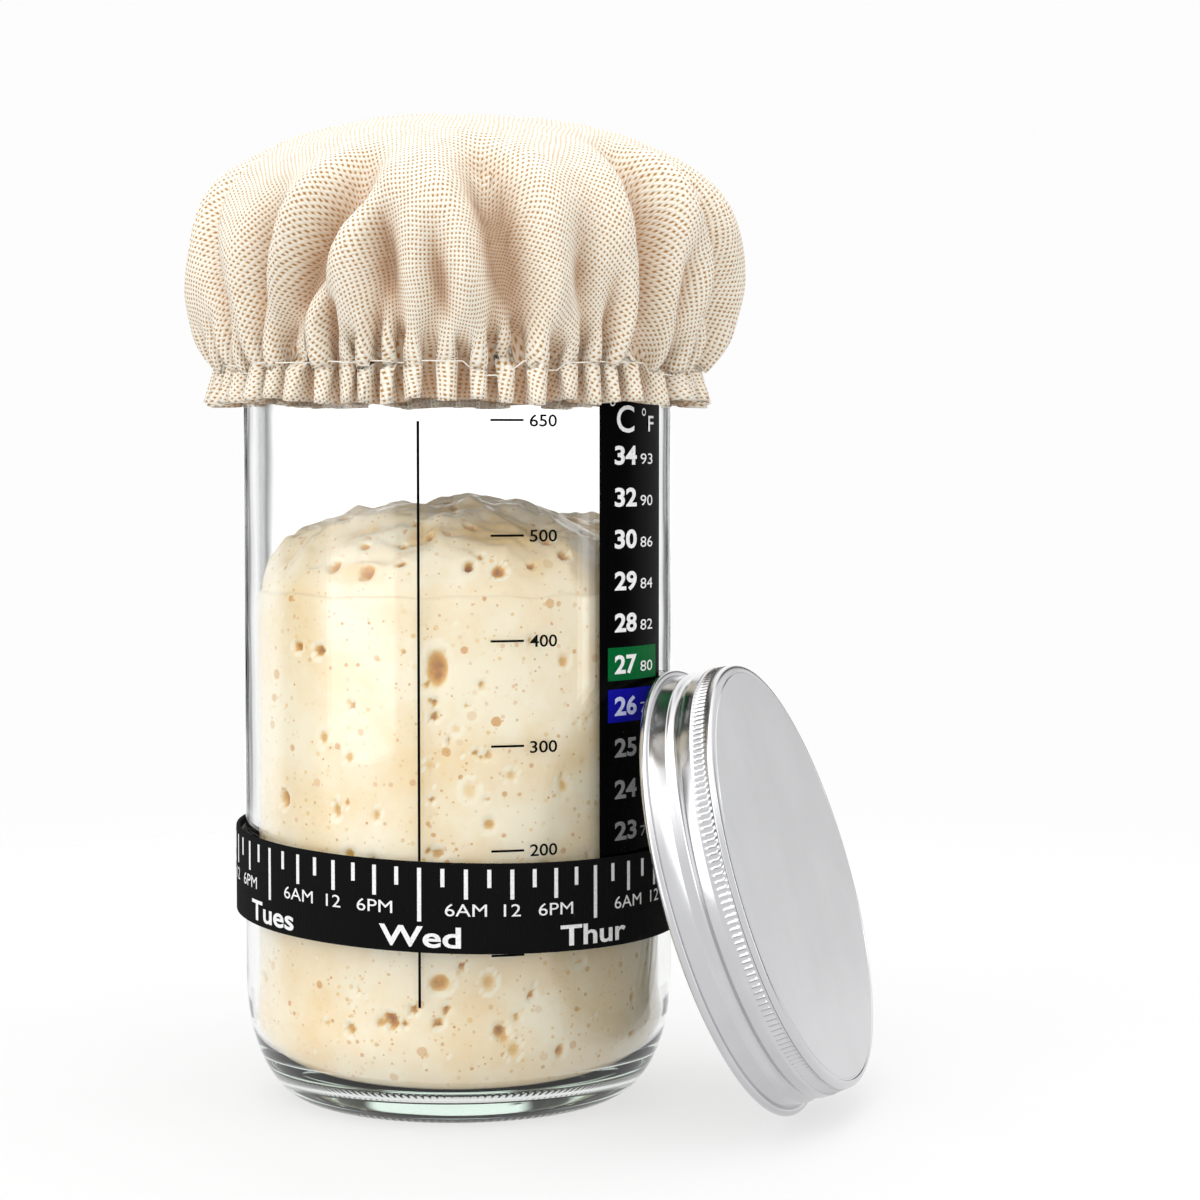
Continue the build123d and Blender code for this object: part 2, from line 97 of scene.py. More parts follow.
def share_property(name, default, text):
    return bpy.props.FloatProperty(name=name, description=text, default=default, min=0.0, precision=4)


def angle_property(name, degrees, text):
    return bpy.props.FloatProperty(
        name=name, description=text, default=math.radians(degrees), subtype="ANGLE", unit="ROTATION"
    )


def count_property(name, default, text):
    return bpy.props.IntProperty(name=name, description=text, default=default, min=1)


def colour_property(name, screen, text):
    return bpy.props.FloatVectorProperty(
        name=name, description=text, default=linear(*screen), size=3, min=0.0, max=1.0, subtype="COLOR"
    )


# Sizes and colours that a user would change


class GlassSettings(bpy.types.PropertyGroup):
    """Sizes and colour of the glass jar."""

    wall: length_property("Wall", 2.5 * MM, "Thickness of the jar's side")
    heel_width: length_property("Heel width", 12 * MM, "How far the side curves in at the foot")
    heel_height: length_property("Heel height", 24 * MM, "How high the curve at the foot reaches")
    floor_level: length_property("Floor level", 5.6 * MM, "Height of the inside floor")
    inner_heel_width: length_property("Inner heel width", 9 * MM, "Width of the round inside the foot")
    inner_heel_height: length_property("Inner heel height", 12 * MM, "Height of the round inside the foot")
    ring_width: length_property("Foot ring", 3.6 * MM, "Width of the ring that the jar stands on")
    recess: length_property("Foot recess", 1.6 * MM, "Depth of the hollow under the foot")
    neck_height: length_property("Neck height", 17 * MM, "Height of the screw neck")
    neck_inset: length_property("Neck inset", 2.2 * MM, "How far the neck stands in from the side")
    neck_wall: length_property("Neck wall", 3.1 * MM, "Thickness of the neck")
    shoulder_height: length_property("Shoulder height", 6 * MM, "Height of the slope up to the neck")
    shoulder_round: length_property("Shoulder round", 5 * MM, "Radius at the ends of the shoulder")
    bead_radius: length_property("Bead radius", 1.1 * MM, "Radius of the bead under the thread")
    bead_lift: length_property("Bead lift", 2.6 * MM, "Height of the bead above the shoulder")
    thread_pitch: length_property("Thread pitch", 5.08 * MM, "Rise of the thread in one turn")
    thread_depth: length_property("Thread depth", 1.5 * MM, "How far the thread stands out")
    thread_base: length_property("Thread base", 3 * MM, "Height of the thread at its root")
    thread_drop: length_property("Thread drop", 10.4 * MM, "Start of the thread under the rim")
    thread_turns: share_property("Thread turns", 1.25, "Turns of the thread")
    tint: colour_property("Tint", (205, 226, 214), "Colour that light takes in thick glass")


class StarterSettings(bpy.types.PropertyGroup):
    """Sizes and colours of the risen starter."""

    level: length_property("Level", 100 * MM, "Height at which the starter meets the glass")
    crown: length_property("Crown", 18.3 * MM, "Rise of its domed top above that level")
    film_gap: length_property("Air film", 0.05 * MM, "Gap between the starter and the glass")
    lip: length_property("Lip", 1.3 * MM, "How far the top draws in from the glass")
    lump: length_property("Lump", 1.9 * MM, "Height of the soft lumps on top")
    bubbles: count_property("Bubbles", 330, "Bubbles against the glass, beside the hand-placed ones")
    craters: count_property("Craters", 46, "Burst bubbles on the top")
    dough: colour_property("Dough", (253, 240, 213), "Pale colour of the dough")
    shade: colour_property("Shade", (244, 216, 166), "Colour of its duller patches")
    # Tan, speck and ochre also serve as painted shade in the bubbles and in the dome's hollows, darker the
    # deeper they are
    tan: colour_property("Tan", (236, 198, 124), "Colour of shallow bubbles")
    speck: colour_property("Speck", (212, 150, 52), "Colour of the specks and of bubbles' floors")
    ochre: colour_property("Ochre", (172, 106, 22), "Colour deep in the bubbles")


class CoverSettings(bpy.types.PropertyGroup):
    """Sizes and colours of the cloth cover."""

    widest_level: length_property("Widest level", 165 * MM, "Height where the puffed cover is widest")
    crown_level: length_property("Crown level", 193.5 * MM, "Height of the middle of the cover")
    shift: length_property("Shift", 1.4 * MM, "How far the puffed cover hangs over to the right")
    bulge: length_property("Bulge", 52.8 * MM, "Radius of the puffed cover where it is widest")
    fullness: share_property("Fullness", 2.4, "How square the puffed top is, with 2 for an ellipse")
    tuck_radius: length_property("Tuck radius", 40 * MM, "Radius that the cover tucks in towards")
    tuck_height: length_property("Tuck height", 23 * MM, "Height of the curve of its lower half")
    gather_level: length_property("Gather level", 144.5 * MM, "Height of the elastic's line")
    ruffle: length_property("Ruffle", 7.2 * MM, "Cloth below the line of the elastic")
    clear_radius: length_property("Clear radius", 43.6 * MM, "Least radius of the cloth beside the jar")
    pleats: count_property("Pleats", 54, "Pleats round the elastic")
    pleat_depth: length_property("Pleat depth", 2.4 * MM, "How far a pleat stands out and in")
    thickness: length_property("Thickness", 0.45 * MM, "Thickness of the cloth")
    thread_radius: length_property("Thread radius", 0.14 * MM, "Radius of the sewing thread")
    weave: length_property("Weave", 0.84 * MM, "Spacing of the threads")
    disc_size: length_property("Cloth size", 0.22, "Side of the cloth's square of UV map")
    mesh_step: length_property("Mesh step", 1.5 * MM, "Spacing of the rings of the cloth's mesh")
    columns: count_property("Columns", 432, "Points of the cloth's mesh round its hem")
    frames: count_property("Frames", 20, "Steps that the cloth settles for")
    puff: share_property("Puff", 0.35, "Pressure that holds the cover up while it settles")
    stiffness: share_property("Stiffness", 0.15, "How much the cloth keeps from bending")
    memory: share_property("Memory", 0.35, "How much the cloth keeps to its first folds")
    thread: colour_property("Thread", (255, 249, 236), "Colour of the cotton")
    # The next two colours are painted shade of the open weave: a darker tone in the hollows between the
    # threads, and a dark tan in the gaps between them
    weave_hollow_shade: colour_property("Weft", (238, 220, 190), "Colour in the hollows between the threads")
    gap: colour_property("Gap", (178, 128, 66), "Colour seen between the threads")
    # Deep is painted shade: the warm, darker tone that the cloth is mixed towards deep in its folds
    deep: colour_property("Deep", (190, 130, 64), "Warm colour that the cloth takes on deep in its folds")


class BandSettings(bpy.types.PropertyGroup):
    """Sizes and colours of the day band."""

    height: length_property("Height", 17 * MM, "Height of the band")
    thickness: length_property("Thickness", 0.9 * MM, "Thickness of the webbing")
    middle: length_property("Middle", 44.5 * MM, "Height of the band's middle on the jar")
    tilt: angle_property("Tilt", 2.4, "How far the band sits aslant")
    low_azimuth: angle_property("Low side", 50, "Azimuth of its lowest side")
    day_azimuth: angle_property("Pointed day", -6.9, "Azimuth of the long mark by the pointer line")
    day_angle: angle_property("Day angle", 44.9, "Angle of one day")
    rib: length_property("Rib", 0.42 * MM, "Spacing of the fine upright ribs")
    hour_drop: length_property("Hour drop", 8.65 * MM, "Hour words below the top edge")
    hour_cap: length_property("Hour size", 2.43 * MM, "Height of the hour words")
    day_drop: length_property("Day drop", 13.8 * MM, "Day words below the top edge")
    day_cap: length_property("Day size", 3.95 * MM, "Height of the day words")
    webbing: colour_property("Webbing", (12, 12, 13), "Colour of the webbing")
    print_white: colour_property("Marks", (238, 238, 238), "Colour of its marks and words")


class ScaleSettings(bpy.types.PropertyGroup):
    """Sizes and colours of the printed scale and the thermometer strip."""

    number_azimuth: angle_property("Number azimuth", 24.6, "Azimuth of the middle of the numbers")
    number_cap: length_property("Number size", 2.3 * MM, "Height of the numbers")
    number_width: length_property("Number width", 5.55 * MM, "Width of three digits")
    large_azimuth: angle_property("Celsius azimuth", 50.9, "Azimuth of the large digits")
    large_cap: length_property("Celsius size", 3.5 * MM, "Height of the large digits")
    large_width: length_property("Celsius width", 6.7 * MM, "Width of two large digits")
    small_azimuth: angle_property("Fahrenheit azimuth", 60.3, "Azimuth of the small digits")
    small_cap: length_property("Fahrenheit size", 2.1 * MM, "Height of the small digits")
    small_width: length_property("Fahrenheit width", 4.7 * MM, "Width of two small digits")
    header: length_property("Header", 134.3 * MM, "Height of the two unit signs")
    ink: colour_property("Ink", (12, 12, 12), "Colour of the printing on the glass")
    film: colour_property("Film", (5, 5, 6), "Colour of the thermometer's film")
    green: colour_property("Green cell", (6, 98, 48), "Colour of the cell at the right temperature")
    blue: colour_property("Blue cell", (20, 20, 150), "Colour of the cell below it")


class LidSettings(bpy.types.PropertyGroup):
    """Sizes and colours of the screw lid."""

    lean: angle_property("Lean", 17.5, "How far the lid leans back on the jar")
    azimuth: angle_property("Azimuth", 72.7, "Side of the jar that it leans on")
    clearance: length_property("Clearance", 0.45 * MM, "Gap between its rolled rim and the glass")
    radius: length_property("Radius", 42.7 * MM, "Radius of its side")
    height: length_property("Height", 14 * MM, "Height from its rim to its face")
    sheet: length_property("Sheet", 0.5 * MM, "Thickness of the metal")
    taper: length_property("Taper", 0.5 * MM, "How much narrower it is at the face")
    edge_round: length_property("Edge round", 1.2 * MM, "Radius round the face")
    curl_radius: length_property("Curl radius", 0.85 * MM, "Radius of the rolled rim")
    curl_overhang: length_property("Curl overhang", 1.9 * MM, "How far the rolled rim stands out")
    groove_lift: length_property("Groove lift", 6.4 * MM, "Height of the groove above the rim")
    groove_width: length_property("Groove width", 2.4 * MM, "Width of the groove")
    groove_depth: length_property("Groove depth", 0.8 * MM, "Depth of the groove")
    slots: count_property("Slots", 210, "Slots in the knurled ring")
    slot_depth: length_property("Slot depth", 0.4 * MM, "Depth of a slot")
    slot_low: length_property("Slots from", 9.75 * MM, "Lower end of the slots above the rim")
    slot_high: length_property("Slots to", 12.6 * MM, "Upper end of the slots above the rim")
    metal: colour_property("Metal", (206, 206, 208), "Colour of the aluminium")
    face: colour_property("Face", (206, 206, 208), "Colour of the lacquered face")


class StageSettings(bpy.types.PropertyGroup):
    """The camera, the floor and the lights."""

    camera_place: bpy.props.FloatVectorProperty(
        name="Camera",
        description="Where the camera stands",
        default=(28.215 * MM, -578.27 * MM, 128.61 * MM),
        size=3,
        subtype="TRANSLATION",
    )
    pitch: angle_property("Pitch", 3.0, "How far the camera looks down")
    lens: bpy.props.FloatProperty(
        name="Lens", description="Focal length in millimetres", default=86.97, min=10.0
    )
    floor: colour_property("Floor", (128, 128, 128), "Colour of the floor")
    floor_glow: share_property("Floor glow", 0.66, "Light that the pale floor adds of its own")
    front: share_property("Front light", 1.0, "Strength of the room's light from the front")
    rear: share_property("Rear light", 1.0, "Strength of the room's light from beside the dark boards")
    back: share_property("Back light", 1.3, "Strength of the room's light from behind")
    sides: share_property("Side shade", 0.25, "Strength of the room's light from both sides")
    boards: share_property("Dark boards", 0.03, "Strength left at the dark boards beside the background")
    floor_radius: length_property("Floor radius", 0.6, "Radius where the floor has faded into the room")
    overhead: share_property("Overhead light", 1.55, "Strength of the room's light from above")
    left_box: share_property("Left box", 3.5, "Power of the tall light at the front left, in watts")
    right_box: share_property("Right box", 1.0, "Power of the narrow light at the right, in watts")
    top_box: share_property("Top box", 4.1, "Power of the light overhead, in watts")


class StarterJarSettings(bpy.types.PropertyGroup):
    """All settings of the jar and its portrait."""

    glass: bpy.props.PointerProperty(type=GlassSettings)
    starter: bpy.props.PointerProperty(type=StarterSettings)
    cover: bpy.props.PointerProperty(type=CoverSettings)
    band: bpy.props.PointerProperty(type=BandSettings)
    scale: bpy.props.PointerProperty(type=ScaleSettings)
    lid: bpy.props.PointerProperty(type=LidSettings)
    stage: bpy.props.PointerProperty(type=StageSettings)


# Sections and meshes

# Steps round the axis of the meshes that are turned
GLASS_STEPS = 192
STARTER_STEPS = 384
WEBBING_STEPS = 420
# Nearer together than this, points are taken as one
MERGE = 0.001 * MM


def arc(centre, radii, start, stop, count):
    """Points of an ellipse's arc in a section, between two angles in degrees from outwards towards up."""
    points = []
    for step in range(count + 1):
        turn = math.radians(start + (stop - start) * step / count)
        points.append((centre[0] + radii[0] * math.cos(turn), centre[1] + radii[1] * math.sin(turn)))
    return points


def rounded(corners, rounds, count=6):
    """A section's corners with a round of the given radius at each inner one."""
    points = [tuple(corners[0])]
    for before, corner, after, radius in zip(corners, corners[1:], corners[2:], rounds):
        back = (Vector(before) - Vector(corner)).normalized()
        onward = (Vector(after) - Vector(corner)).normalized()
        half = back.angle(onward) / 2
        centre = Vector(corner) + (back + onward).normalized() * (radius / math.sin(half))
        first = Vector(corner) + back * (radius / math.tan(half)) - centre
        last = Vector(corner) + onward * (radius / math.tan(half)) - centre
        for step in range(count + 1):
            points.append(tuple(centre + first.slerp(last, step / count) * radius))
    points.append(tuple(corners[-1]))
    return points


def rows(start, stop, spacing):
    """Points of a straight stretch of a section, near a spacing apart, without its two ends."""
    count = max(1, round((Vector(stop) - Vector(start)).length / spacing))
    return [tuple(Vector(start).lerp(Vector(stop), step / count)) for step in range(1, count)]


def spin_section(section, steps, closed=False):
    """A mesh turned round the upright axis from a section of (radius, height) points."""
    bm = bmesh.new()
    verts = [bm.verts.new((radius, 0.0, height)) for radius, height in section]
    edges = [bm.edges.new(pair) for pair in zip(verts, verts[1:])]
    if closed:
        edges.append(bm.edges.new((verts[-1], verts[0])))
    bmesh.ops.spin(
        bm, geom=verts + edges, cent=(0, 0, 0), axis=(0, 0, 1), angle=ROUND, steps=steps, use_merge=True
    )
    bmesh.ops.remove_doubles(bm, verts=bm.verts, dist=MERGE)
    bmesh.ops.recalc_face_normals(bm, faces=bm.faces)
    return bm


def mesh_of(bm, name):
    """A mesh made from a bmesh, which is then freed."""
    mesh = bpy.data.meshes.new(name)
    bm.to_mesh(mesh)
    bm.free()
    return mesh


def finish_piece(shape, name, material, body, stands_for=(), sharp=None):
    """Makes a mesh or bmesh a smooth piece of the scene that rides on a body, in its material."""
    mesh = mesh_of(shape, name) if isinstance(shape, bmesh.types.BMesh) else shape
    mesh.name = name
    piece = bpy.data.objects.new(name, mesh)
    bpy.context.scene.collection.objects.link(piece)
    mesh.materials.clear()
    mesh.materials.append(material)
    mesh.polygons.foreach_set("use_smooth", [True] * len(mesh.polygons))
    if sharp is not None:
        mesh.set_sharp_from_angle(angle=math.radians(sharp))
    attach(piece, body)
    if stands_for:
        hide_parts(*stands_for)
    return piece


def azimuth_of(place):
    """The azimuth of a place, from the front towards +X."""
    return math.atan2(place.x, -place.y)


def radius_of(place):
    """The distance of a place from the upright axis."""
    return math.hypot(place.x, place.y)


def round_point(azimuth, radius, height):
    """The place at an azimuth, a distance from the upright axis and a height."""
    return Vector((radius * math.sin(azimuth), -radius * math.cos(azimuth), height))


def widen(place, share):
    """Moves a place straight out from the upright axis, to a share of its radius."""
    place.x *= share
    place.y *= share


def smooth_step(value):
    """Eases a value from 0 to 1, and keeps it there outside those."""
    value = min(1.0, max(0.0, value))
    return value * value * (3 - 2 * value)


def curve_mesh(curve):
    """The mesh of a curve or of letters, which are then removed."""
    holder = bpy.data.objects.new(curve.name, curve)
    bpy.context.scene.collection.objects.link(holder)
    bpy.context.view_layer.update()
    mesh = bpy.data.meshes.new_from_object(holder.evaluated_get(bpy.context.evaluated_depsgraph_get()))
    bpy.data.objects.remove(holder)
    bpy.data.curves.remove(curve)
    return mesh


def letter_mesh(words, bold):
    """A flat mesh of some words in the built-in font at size one, with their outlines moved out by bold."""
    curve = bpy.data.curves.new("letters", "FONT")
    curve.body = words
    curve.size = 1.0
    curve.resolution_u = 4
    curve.offset = bold
    return curve_mesh(curve)


# Height of a capital letter of the built-in font at size one, and the longest flat piece of a bent letter
CAP_SHARE = 0.729
LETTER_CUT = 0.8 * MM


def wrapped_words(
    name,
    words,
    azimuth,
    height,
    radius,
    cap,
    material,
    body,
    slot,
    bold=0.0,
    width=None,
    stretch=1.0,
    slope=None,
):
    """Words laid round an upright cylinder, their middle at an azimuth and a height. They are as wide as
    asked for, or stretched by a share, and follow the rise of a slope where there is one."""
    bm = bmesh.new()
    mesh = letter_mesh(words, bold)
    bm.from_mesh(mesh)
    bpy.data.meshes.remove(mesh)
    low = min(v.co.x for v in bm.verts)
    high = max(v.co.x for v in bm.verts)
    scale = cap / CAP_SHARE
    across = width / (high - low) if width else scale * stretch
    for vert in bm.verts:
        vert.co.x = (vert.co.x - (low + high) / 2) * across
        vert.co.y = vert.co.y * scale - cap / 2
    reach = (high - low) * across / 2
    cuts = max(2, math.ceil(2 * reach / LETTER_CUT))
    for cut in range(1, cuts):
        geometry = bm.verts[:] + bm.edges[:] + bm.faces[:]
        line = (-reach + 2 * reach * cut / cuts, 0, 0)
        bmesh.ops.bisect_plane(bm, geom=geometry, dist=MERGE, plane_co=line, plane_no=(1, 0, 0))
    for vert in bm.verts:
        place = azimuth + vert.co.x / radius
        lift = slope(place) - slope(azimuth) if slope else 0.0
        vert.co = round_point(place, radius, height + vert.co.y + lift)
    for face in bm.faces:
        middle = face.calc_center_median()
        if face.normal.dot(Vector((middle.x, middle.y, 0))) < 0:
            face.normal_flip()
    return finish_piece(bm, name, material, body)


# Materials


class Paint:
    """The nodes of a material or a world, with a short way to add each kind of node."""

    def __init__(self, tree):
        self.nodes = tree.nodes
        self.links = tree.links

    def node(self, kind, values=(), **settings):
        """A new node with its settings and with values or links for its named or numbered sockets."""
        node = self.nodes.new("ShaderNode" + kind)
        for name, setting in settings.items():
            setattr(node, name, setting)
        for name, value in dict(values).items():
            if isinstance(value, bpy.types.NodeSocket):
                self.links.new(value, node.inputs[name])
            elif isinstance(node.inputs[name], bpy.types.NodeSocketColor):
                node.inputs[name].default_value = (*value[:3], 1.0)
            else:
                node.inputs[name].default_value = value
        return node

    def math(self, operation, *values):
        """The result of a math node on values or links."""
        return self.node("Math", enumerate(values), operation=operation).outputs[0]

    def noise(self, place, scale, detail=2.0, roughness=0.5, output="Fac"):
        """Noise at a place, scale times to the metre."""
        values = {"Vector": place, "Scale": scale, "Detail": detail, "Roughness": roughness}
        return self.node("TexNoise", values).outputs[output]

    def ramp(self, factor, stops):
        """A colour ramp of (place, colour) stops."""
        node = self.node("ValToRGB", {"Fac": factor})
        elements = node.color_ramp.elements
        while len(elements) < len(stops):
            elements.new(0.5)
        for element, (place, colour) in zip(elements, stops):
            element.position = place
            element.color = (*colour, 1.0)
        return node.outputs["Color"]

    def spread(self, value, start, stop, low=0.0, high=1.0, smooth=False):
        """Spreads a value between start and stop over the stretch from low to high."""
        values = {"Value": value, "From Min": start, "From Max": stop, "To Min": low, "To Max": high}
        kind = "SMOOTHSTEP" if smooth else "LINEAR"
        return self.node("MapRange", values, interpolation_type=kind).outputs[0]

    def mix(self, factor, first, second):
        """A mix of two colours, the second where the factor is one."""
        node = self.node("Mix", data_type="RGBA")
        sockets = (node.inputs["Factor"], node.inputs[6], node.inputs[7])
        for socket, value in zip(sockets, (factor, first, second)):
            if isinstance(value, bpy.types.NodeSocket):
                self.links.new(value, socket)
            elif isinstance(value, (int, float)):
                socket.default_value = value
            else:
                socket.default_value = (*value, 1.0)
        return node.outputs[2]

    def bump(self, height, distance, strength=1.0):
        """The surface's direction where a height is raised by up to a distance."""
        values = {"Height": height, "Distance": distance, "Strength": strength}
        return self.node("Bump", values).outputs["Normal"]

    def object_place(self):
        return self.node("TexCoord").outputs["Object"]

    def attribute(self, name):
        """A number that the mesh holds for each of its points."""
        return self.node("Attribute", attribute_name=name).outputs["Fac"]

    def axes(self, vector):
        return self.node("SeparateXYZ", {"Vector": vector}).outputs

    def turn(self, axes):
        """The turn round the upright axis."""
        return self.math("ARCTAN2", axes["Y"], axes["X"])

    def shifted(self, place, scale, detail, reach):
        """A place moved about by noise, by up to a reach along each axis."""
        values = {0: self.noise(place, scale, detail, output="Color"), 1: reach, 2: place}
        return self.node("VectorMath", values, operation="MULTIPLY_ADD").outputs[0]

    def mix_shaders(self, factor, first, second):
        """Shows a mix of two shaders as the surface."""
        mix = self.node("MixShader", {"Fac": factor, 1: first, 2: second})
        self.links.new(mix.outputs[0], self.nodes["Material Output"].inputs["Surface"])


class Finish(Paint):
    """A new material with one main shader."""

    def __init__(self, name):
        self.material = bpy.data.materials.new(name)
        self.material.use_nodes = True
        super().__init__(self.material.node_tree)
        self.shader = self.nodes["Principled BSDF"]

    def set(self, **values):
        """Sets the shader's own sockets, named with _ for a space."""
        for name, value in values.items():
            self.shader.inputs[name.replace("_", " ")].default_value = value

    def colour_from(self, colour):
        self.links.new(colour, self.shader.inputs["Base Color"])

    def bump_from(self, height, distance, strength=1.0):
        self.links.new(self.bump(height, distance, strength), self.shader.inputs["Normal"])


def glass_material(settings):
    """Clear pressed glass: green in its thick foot, stippled under its ring, and open to lamp light."""
    ridges_round = 140.0
    ridge_top = 1.3 * MM
    tint_density = 16.0
    paint = Finish("clear_glass")
    paint.set(Base_Color=(1, 1, 1, 1), Roughness=0.0, IOR=1.5, Transmission_Weight=1.0)
    place = paint.object_place()
    axes = paint.axes(place)
    ridges = paint.math("SINE", paint.math("MULTIPLY", paint.turn(axes), ridges_round))
    stipple = paint.math("MULTIPLY", ridges, paint.math("LESS_THAN", axes["Z"], ridge_top))
    wobble = paint.noise(place, 38.0, 1.0)
    paint.bump_from(paint.math("MULTIPLY_ADD", stipple, 0.5, wobble), 0.25 * MM, 0.6)
    clear = paint.node("BsdfTransparent", {"Color": (0.99, 0.992, 0.99)})
    shadow = paint.node("LightPath").outputs["Is Shadow Ray"]
    paint.mix_shaders(shadow, paint.shader.outputs[0], clear.outputs[0])
    absorb = paint.node("VolumeAbsorption", {"Color": settings.tint, "Density": tint_density})
    paint.links.new(absorb.outputs[0], paint.nodes["Material Output"].inputs["Volume"])
    return paint.material


def add_specks(paint, place, dough, spacing, radius, chance, tone):
    """Round specks of a tone over the dough: one to a cell of a spacing, of which a share is kept."""
    cells = paint.node("TexVoronoi", {"Vector": place, "Scale": 1 / spacing})
    channels = paint.node("SeparateColor", {0: cells.outputs["Color"]}).outputs
    distance = paint.math("MULTIPLY", cells.outputs["Distance"], spacing)
    size = paint.math("MULTIPLY_ADD", channels["Red"], 0.7 * radius, 0.3 * radius)
    edge = paint.math("DIVIDE", paint.math("SUBTRACT", size, distance), 0.12 * MM)
    speck = paint.node("Clamp", {"Value": edge}).outputs[0]
    strength = paint.math("MULTIPLY", speck, paint.math("LESS_THAN", channels["Green"], chance))
    faint = paint.math("MULTIPLY_ADD", channels["Blue"], 0.7, 0.2)
    return paint.mix(paint.math("MULTIPLY", strength, faint), dough, tone)


def starter_material(settings):
    """Moist dough: pale with duller patches and ochre specks. Its bubbles get painted shade, tan to ochre
    on their floors, and a painted highlight on their pale rims.
    """
    paint = Finish("risen_starter")
    place = paint.object_place()
    patches = paint.noise(place, 60.0, 4.0, 0.6)
    dough = paint.ramp(patches, [(0.4, settings.dough), (0.72, settings.shade)])
    uneven = paint.shifted(place, 1100.0, 2.0, (0.3 * MM,) * 3)
    dough = add_specks(paint, uneven, dough, 1.15 * MM, 0.34 * MM, 0.6, settings.speck)
    dough = add_specks(paint, uneven, dough, 2.0 * MM, 0.6 * MM, 0.6, settings.tan)
    dough = add_specks(paint, uneven, dough, 2.6 * MM, 0.6 * MM, 0.8, settings.speck)
    dough = add_specks(paint, uneven, dough, 4.6 * MM, 1.1 * MM, 0.6, settings.speck)
    # Painted shade in the bubbles: their floors darken from tan to ochre with their depth
    depth = paint.attribute("bubble")
    blotch = paint.noise(place, 900.0, 3.0, 0.6)
    deep = paint.math("MULTIPLY", depth, paint.math("ADD", blotch, 0.55))
    floor = paint.ramp(deep, [(0.2, settings.tan), (0.62, settings.speck), (0.95, settings.ochre)])
    dough = paint.mix(paint.spread(depth, 0.04, 0.3), dough, floor)
    # Painted highlight: a pale ring of plain dough round each bubble's rim
    dough = paint.mix(paint.spread(depth, -0.05, -0.5), dough, settings.dough)
    paint.colour_from(dough)
    paint.set(
        Roughness=0.34,
        Subsurface_Weight=0.12,
        Subsurface_Radius=(1.0, 0.6, 0.3),
        Subsurface_Scale=1.5 * MM,
        Coat_Weight=0.3,
        Coat_Roughness=0.12,
    )
    paint.bump_from(paint.noise(place, 620.0, 3.0, 0.6), 0.14 * MM, 0.7)
    return paint.material


def cotton_material(settings):
    """Open plain weave in the two thread directions of the flat cloth. Painted shade darkens the hollows
    and gaps of the weave, and warms and darkens the cloth deep in its folds.
    """
    paint = Finish("open_cotton_weave")
    cloth = paint.node("UVMap", uv_map="cloth").outputs[0]
    axes = paint.axes(paint.shifted(cloth, 9.0, 3.0, (0.02, 0.02, 0.0)))
    threads_across = math.pi * settings.disc_size / settings.weave
    waves = [paint.math("SINE", paint.math("MULTIPLY", axes[axis], threads_across)) for axis in ("X", "Y")]
    over = paint.math("MULTIPLY_ADD", paint.math("MULTIPLY", *waves), 0.5, 0.5)
    under = paint.math("SUBTRACT", 1.0, over)
    tops = []
    for wave, raised in zip(waves, (over, under)):
        thread = paint.math("ABSOLUTE", wave)
        tops.append(paint.math("MULTIPLY", thread, paint.math("MULTIPLY_ADD", raised, 0.5, 0.5)))
    slub = paint.noise(cloth, 260.0, 3.0, 0.7)
    uneven = paint.noise(cloth, 60.0, 2.0, 0.6)
    height = paint.math("MULTIPLY_ADD", slub, 0.5, paint.math("MAXIMUM", *tops))
    height = paint.math("MULTIPLY_ADD", uneven, -0.22, height)
    # Painted shade: the weave darkens where it is low, most of all in the gaps between the threads
    tone = paint.ramp(height, [(0.44, settings.gap), (0.66, settings.weave_hollow_shade), (0.84, settings.thread)])
    # Painted shade: the tone is mixed towards the deep colour where the cloth lies inside its folds
    inside = paint.math("MULTIPLY", paint.attribute("painted_fold_shade"), 0.95)
    tone = paint.mix(inside, tone, paint.mix(0.6, tone, settings.deep))
    paint.colour_from(tone)
    paint.set(Roughness=0.9, Sheen_Weight=0.25, Sheen_Roughness=0.5)
    paint.bump_from(height, 0.3 * MM, 0.8)
    through = paint.node("BsdfTranslucent", {"Color": tone})
    paint.mix_shaders(0.14, paint.shader.outputs[0], through.outputs[0])
    return paint.material


def fibre_material(name, colour, scale, roughness=0.8, bump=0.1 * MM):
    """Spun or woven yarn, with light and dark fibres."""
    paint = Finish(name)
    fibres = paint.noise(paint.object_place(), scale, 4.0, 0.7)
    paint.colour_from(paint.ramp(fibres, [(0.3, shaded(colour, 0.72)), (0.62, colour)]))
    paint.set(Roughness=roughness, Sheen_Weight=0.2)
    paint.bump_from(fibres, bump, 0.8)
    return paint.material


def webbing_material(settings):
    """Black woven elastic: fine cross threads between its upright ribs."""
    paint = Finish("ribbed_webbing")
    pick_spacing = 0.5 * MM
    place = paint.object_place()
    axes = paint.axes(place)
    picks = paint.math("SINE", paint.math("MULTIPLY", axes["Z"], ROUND / pick_spacing))
    ribs_round = round(ROUND * BAND_OUTSIDE / settings.rib)
    ribs = paint.math("SINE", paint.math("MULTIPLY", paint.turn(axes), ribs_round))
    knots = paint.math("MULTIPLY", picks, ribs)
    fibres = paint.noise(place, 1600.0, 3.0, 0.7)
    height = paint.math("MULTIPLY_ADD", knots, 0.3, paint.math("ADD", ribs, fibres))
    level = paint.math("MULTIPLY_ADD", height, 0.3, 0.35)
    paint.colour_from(paint.ramp(level, [(0.2, shaded(settings.webbing, 0.45)), (0.8, settings.webbing)]))
    paint.set(Roughness=0.9, Specular_IOR_Level=0.12)
    paint.bump_from(height, 0.1 * MM, 0.7)
    return paint.material


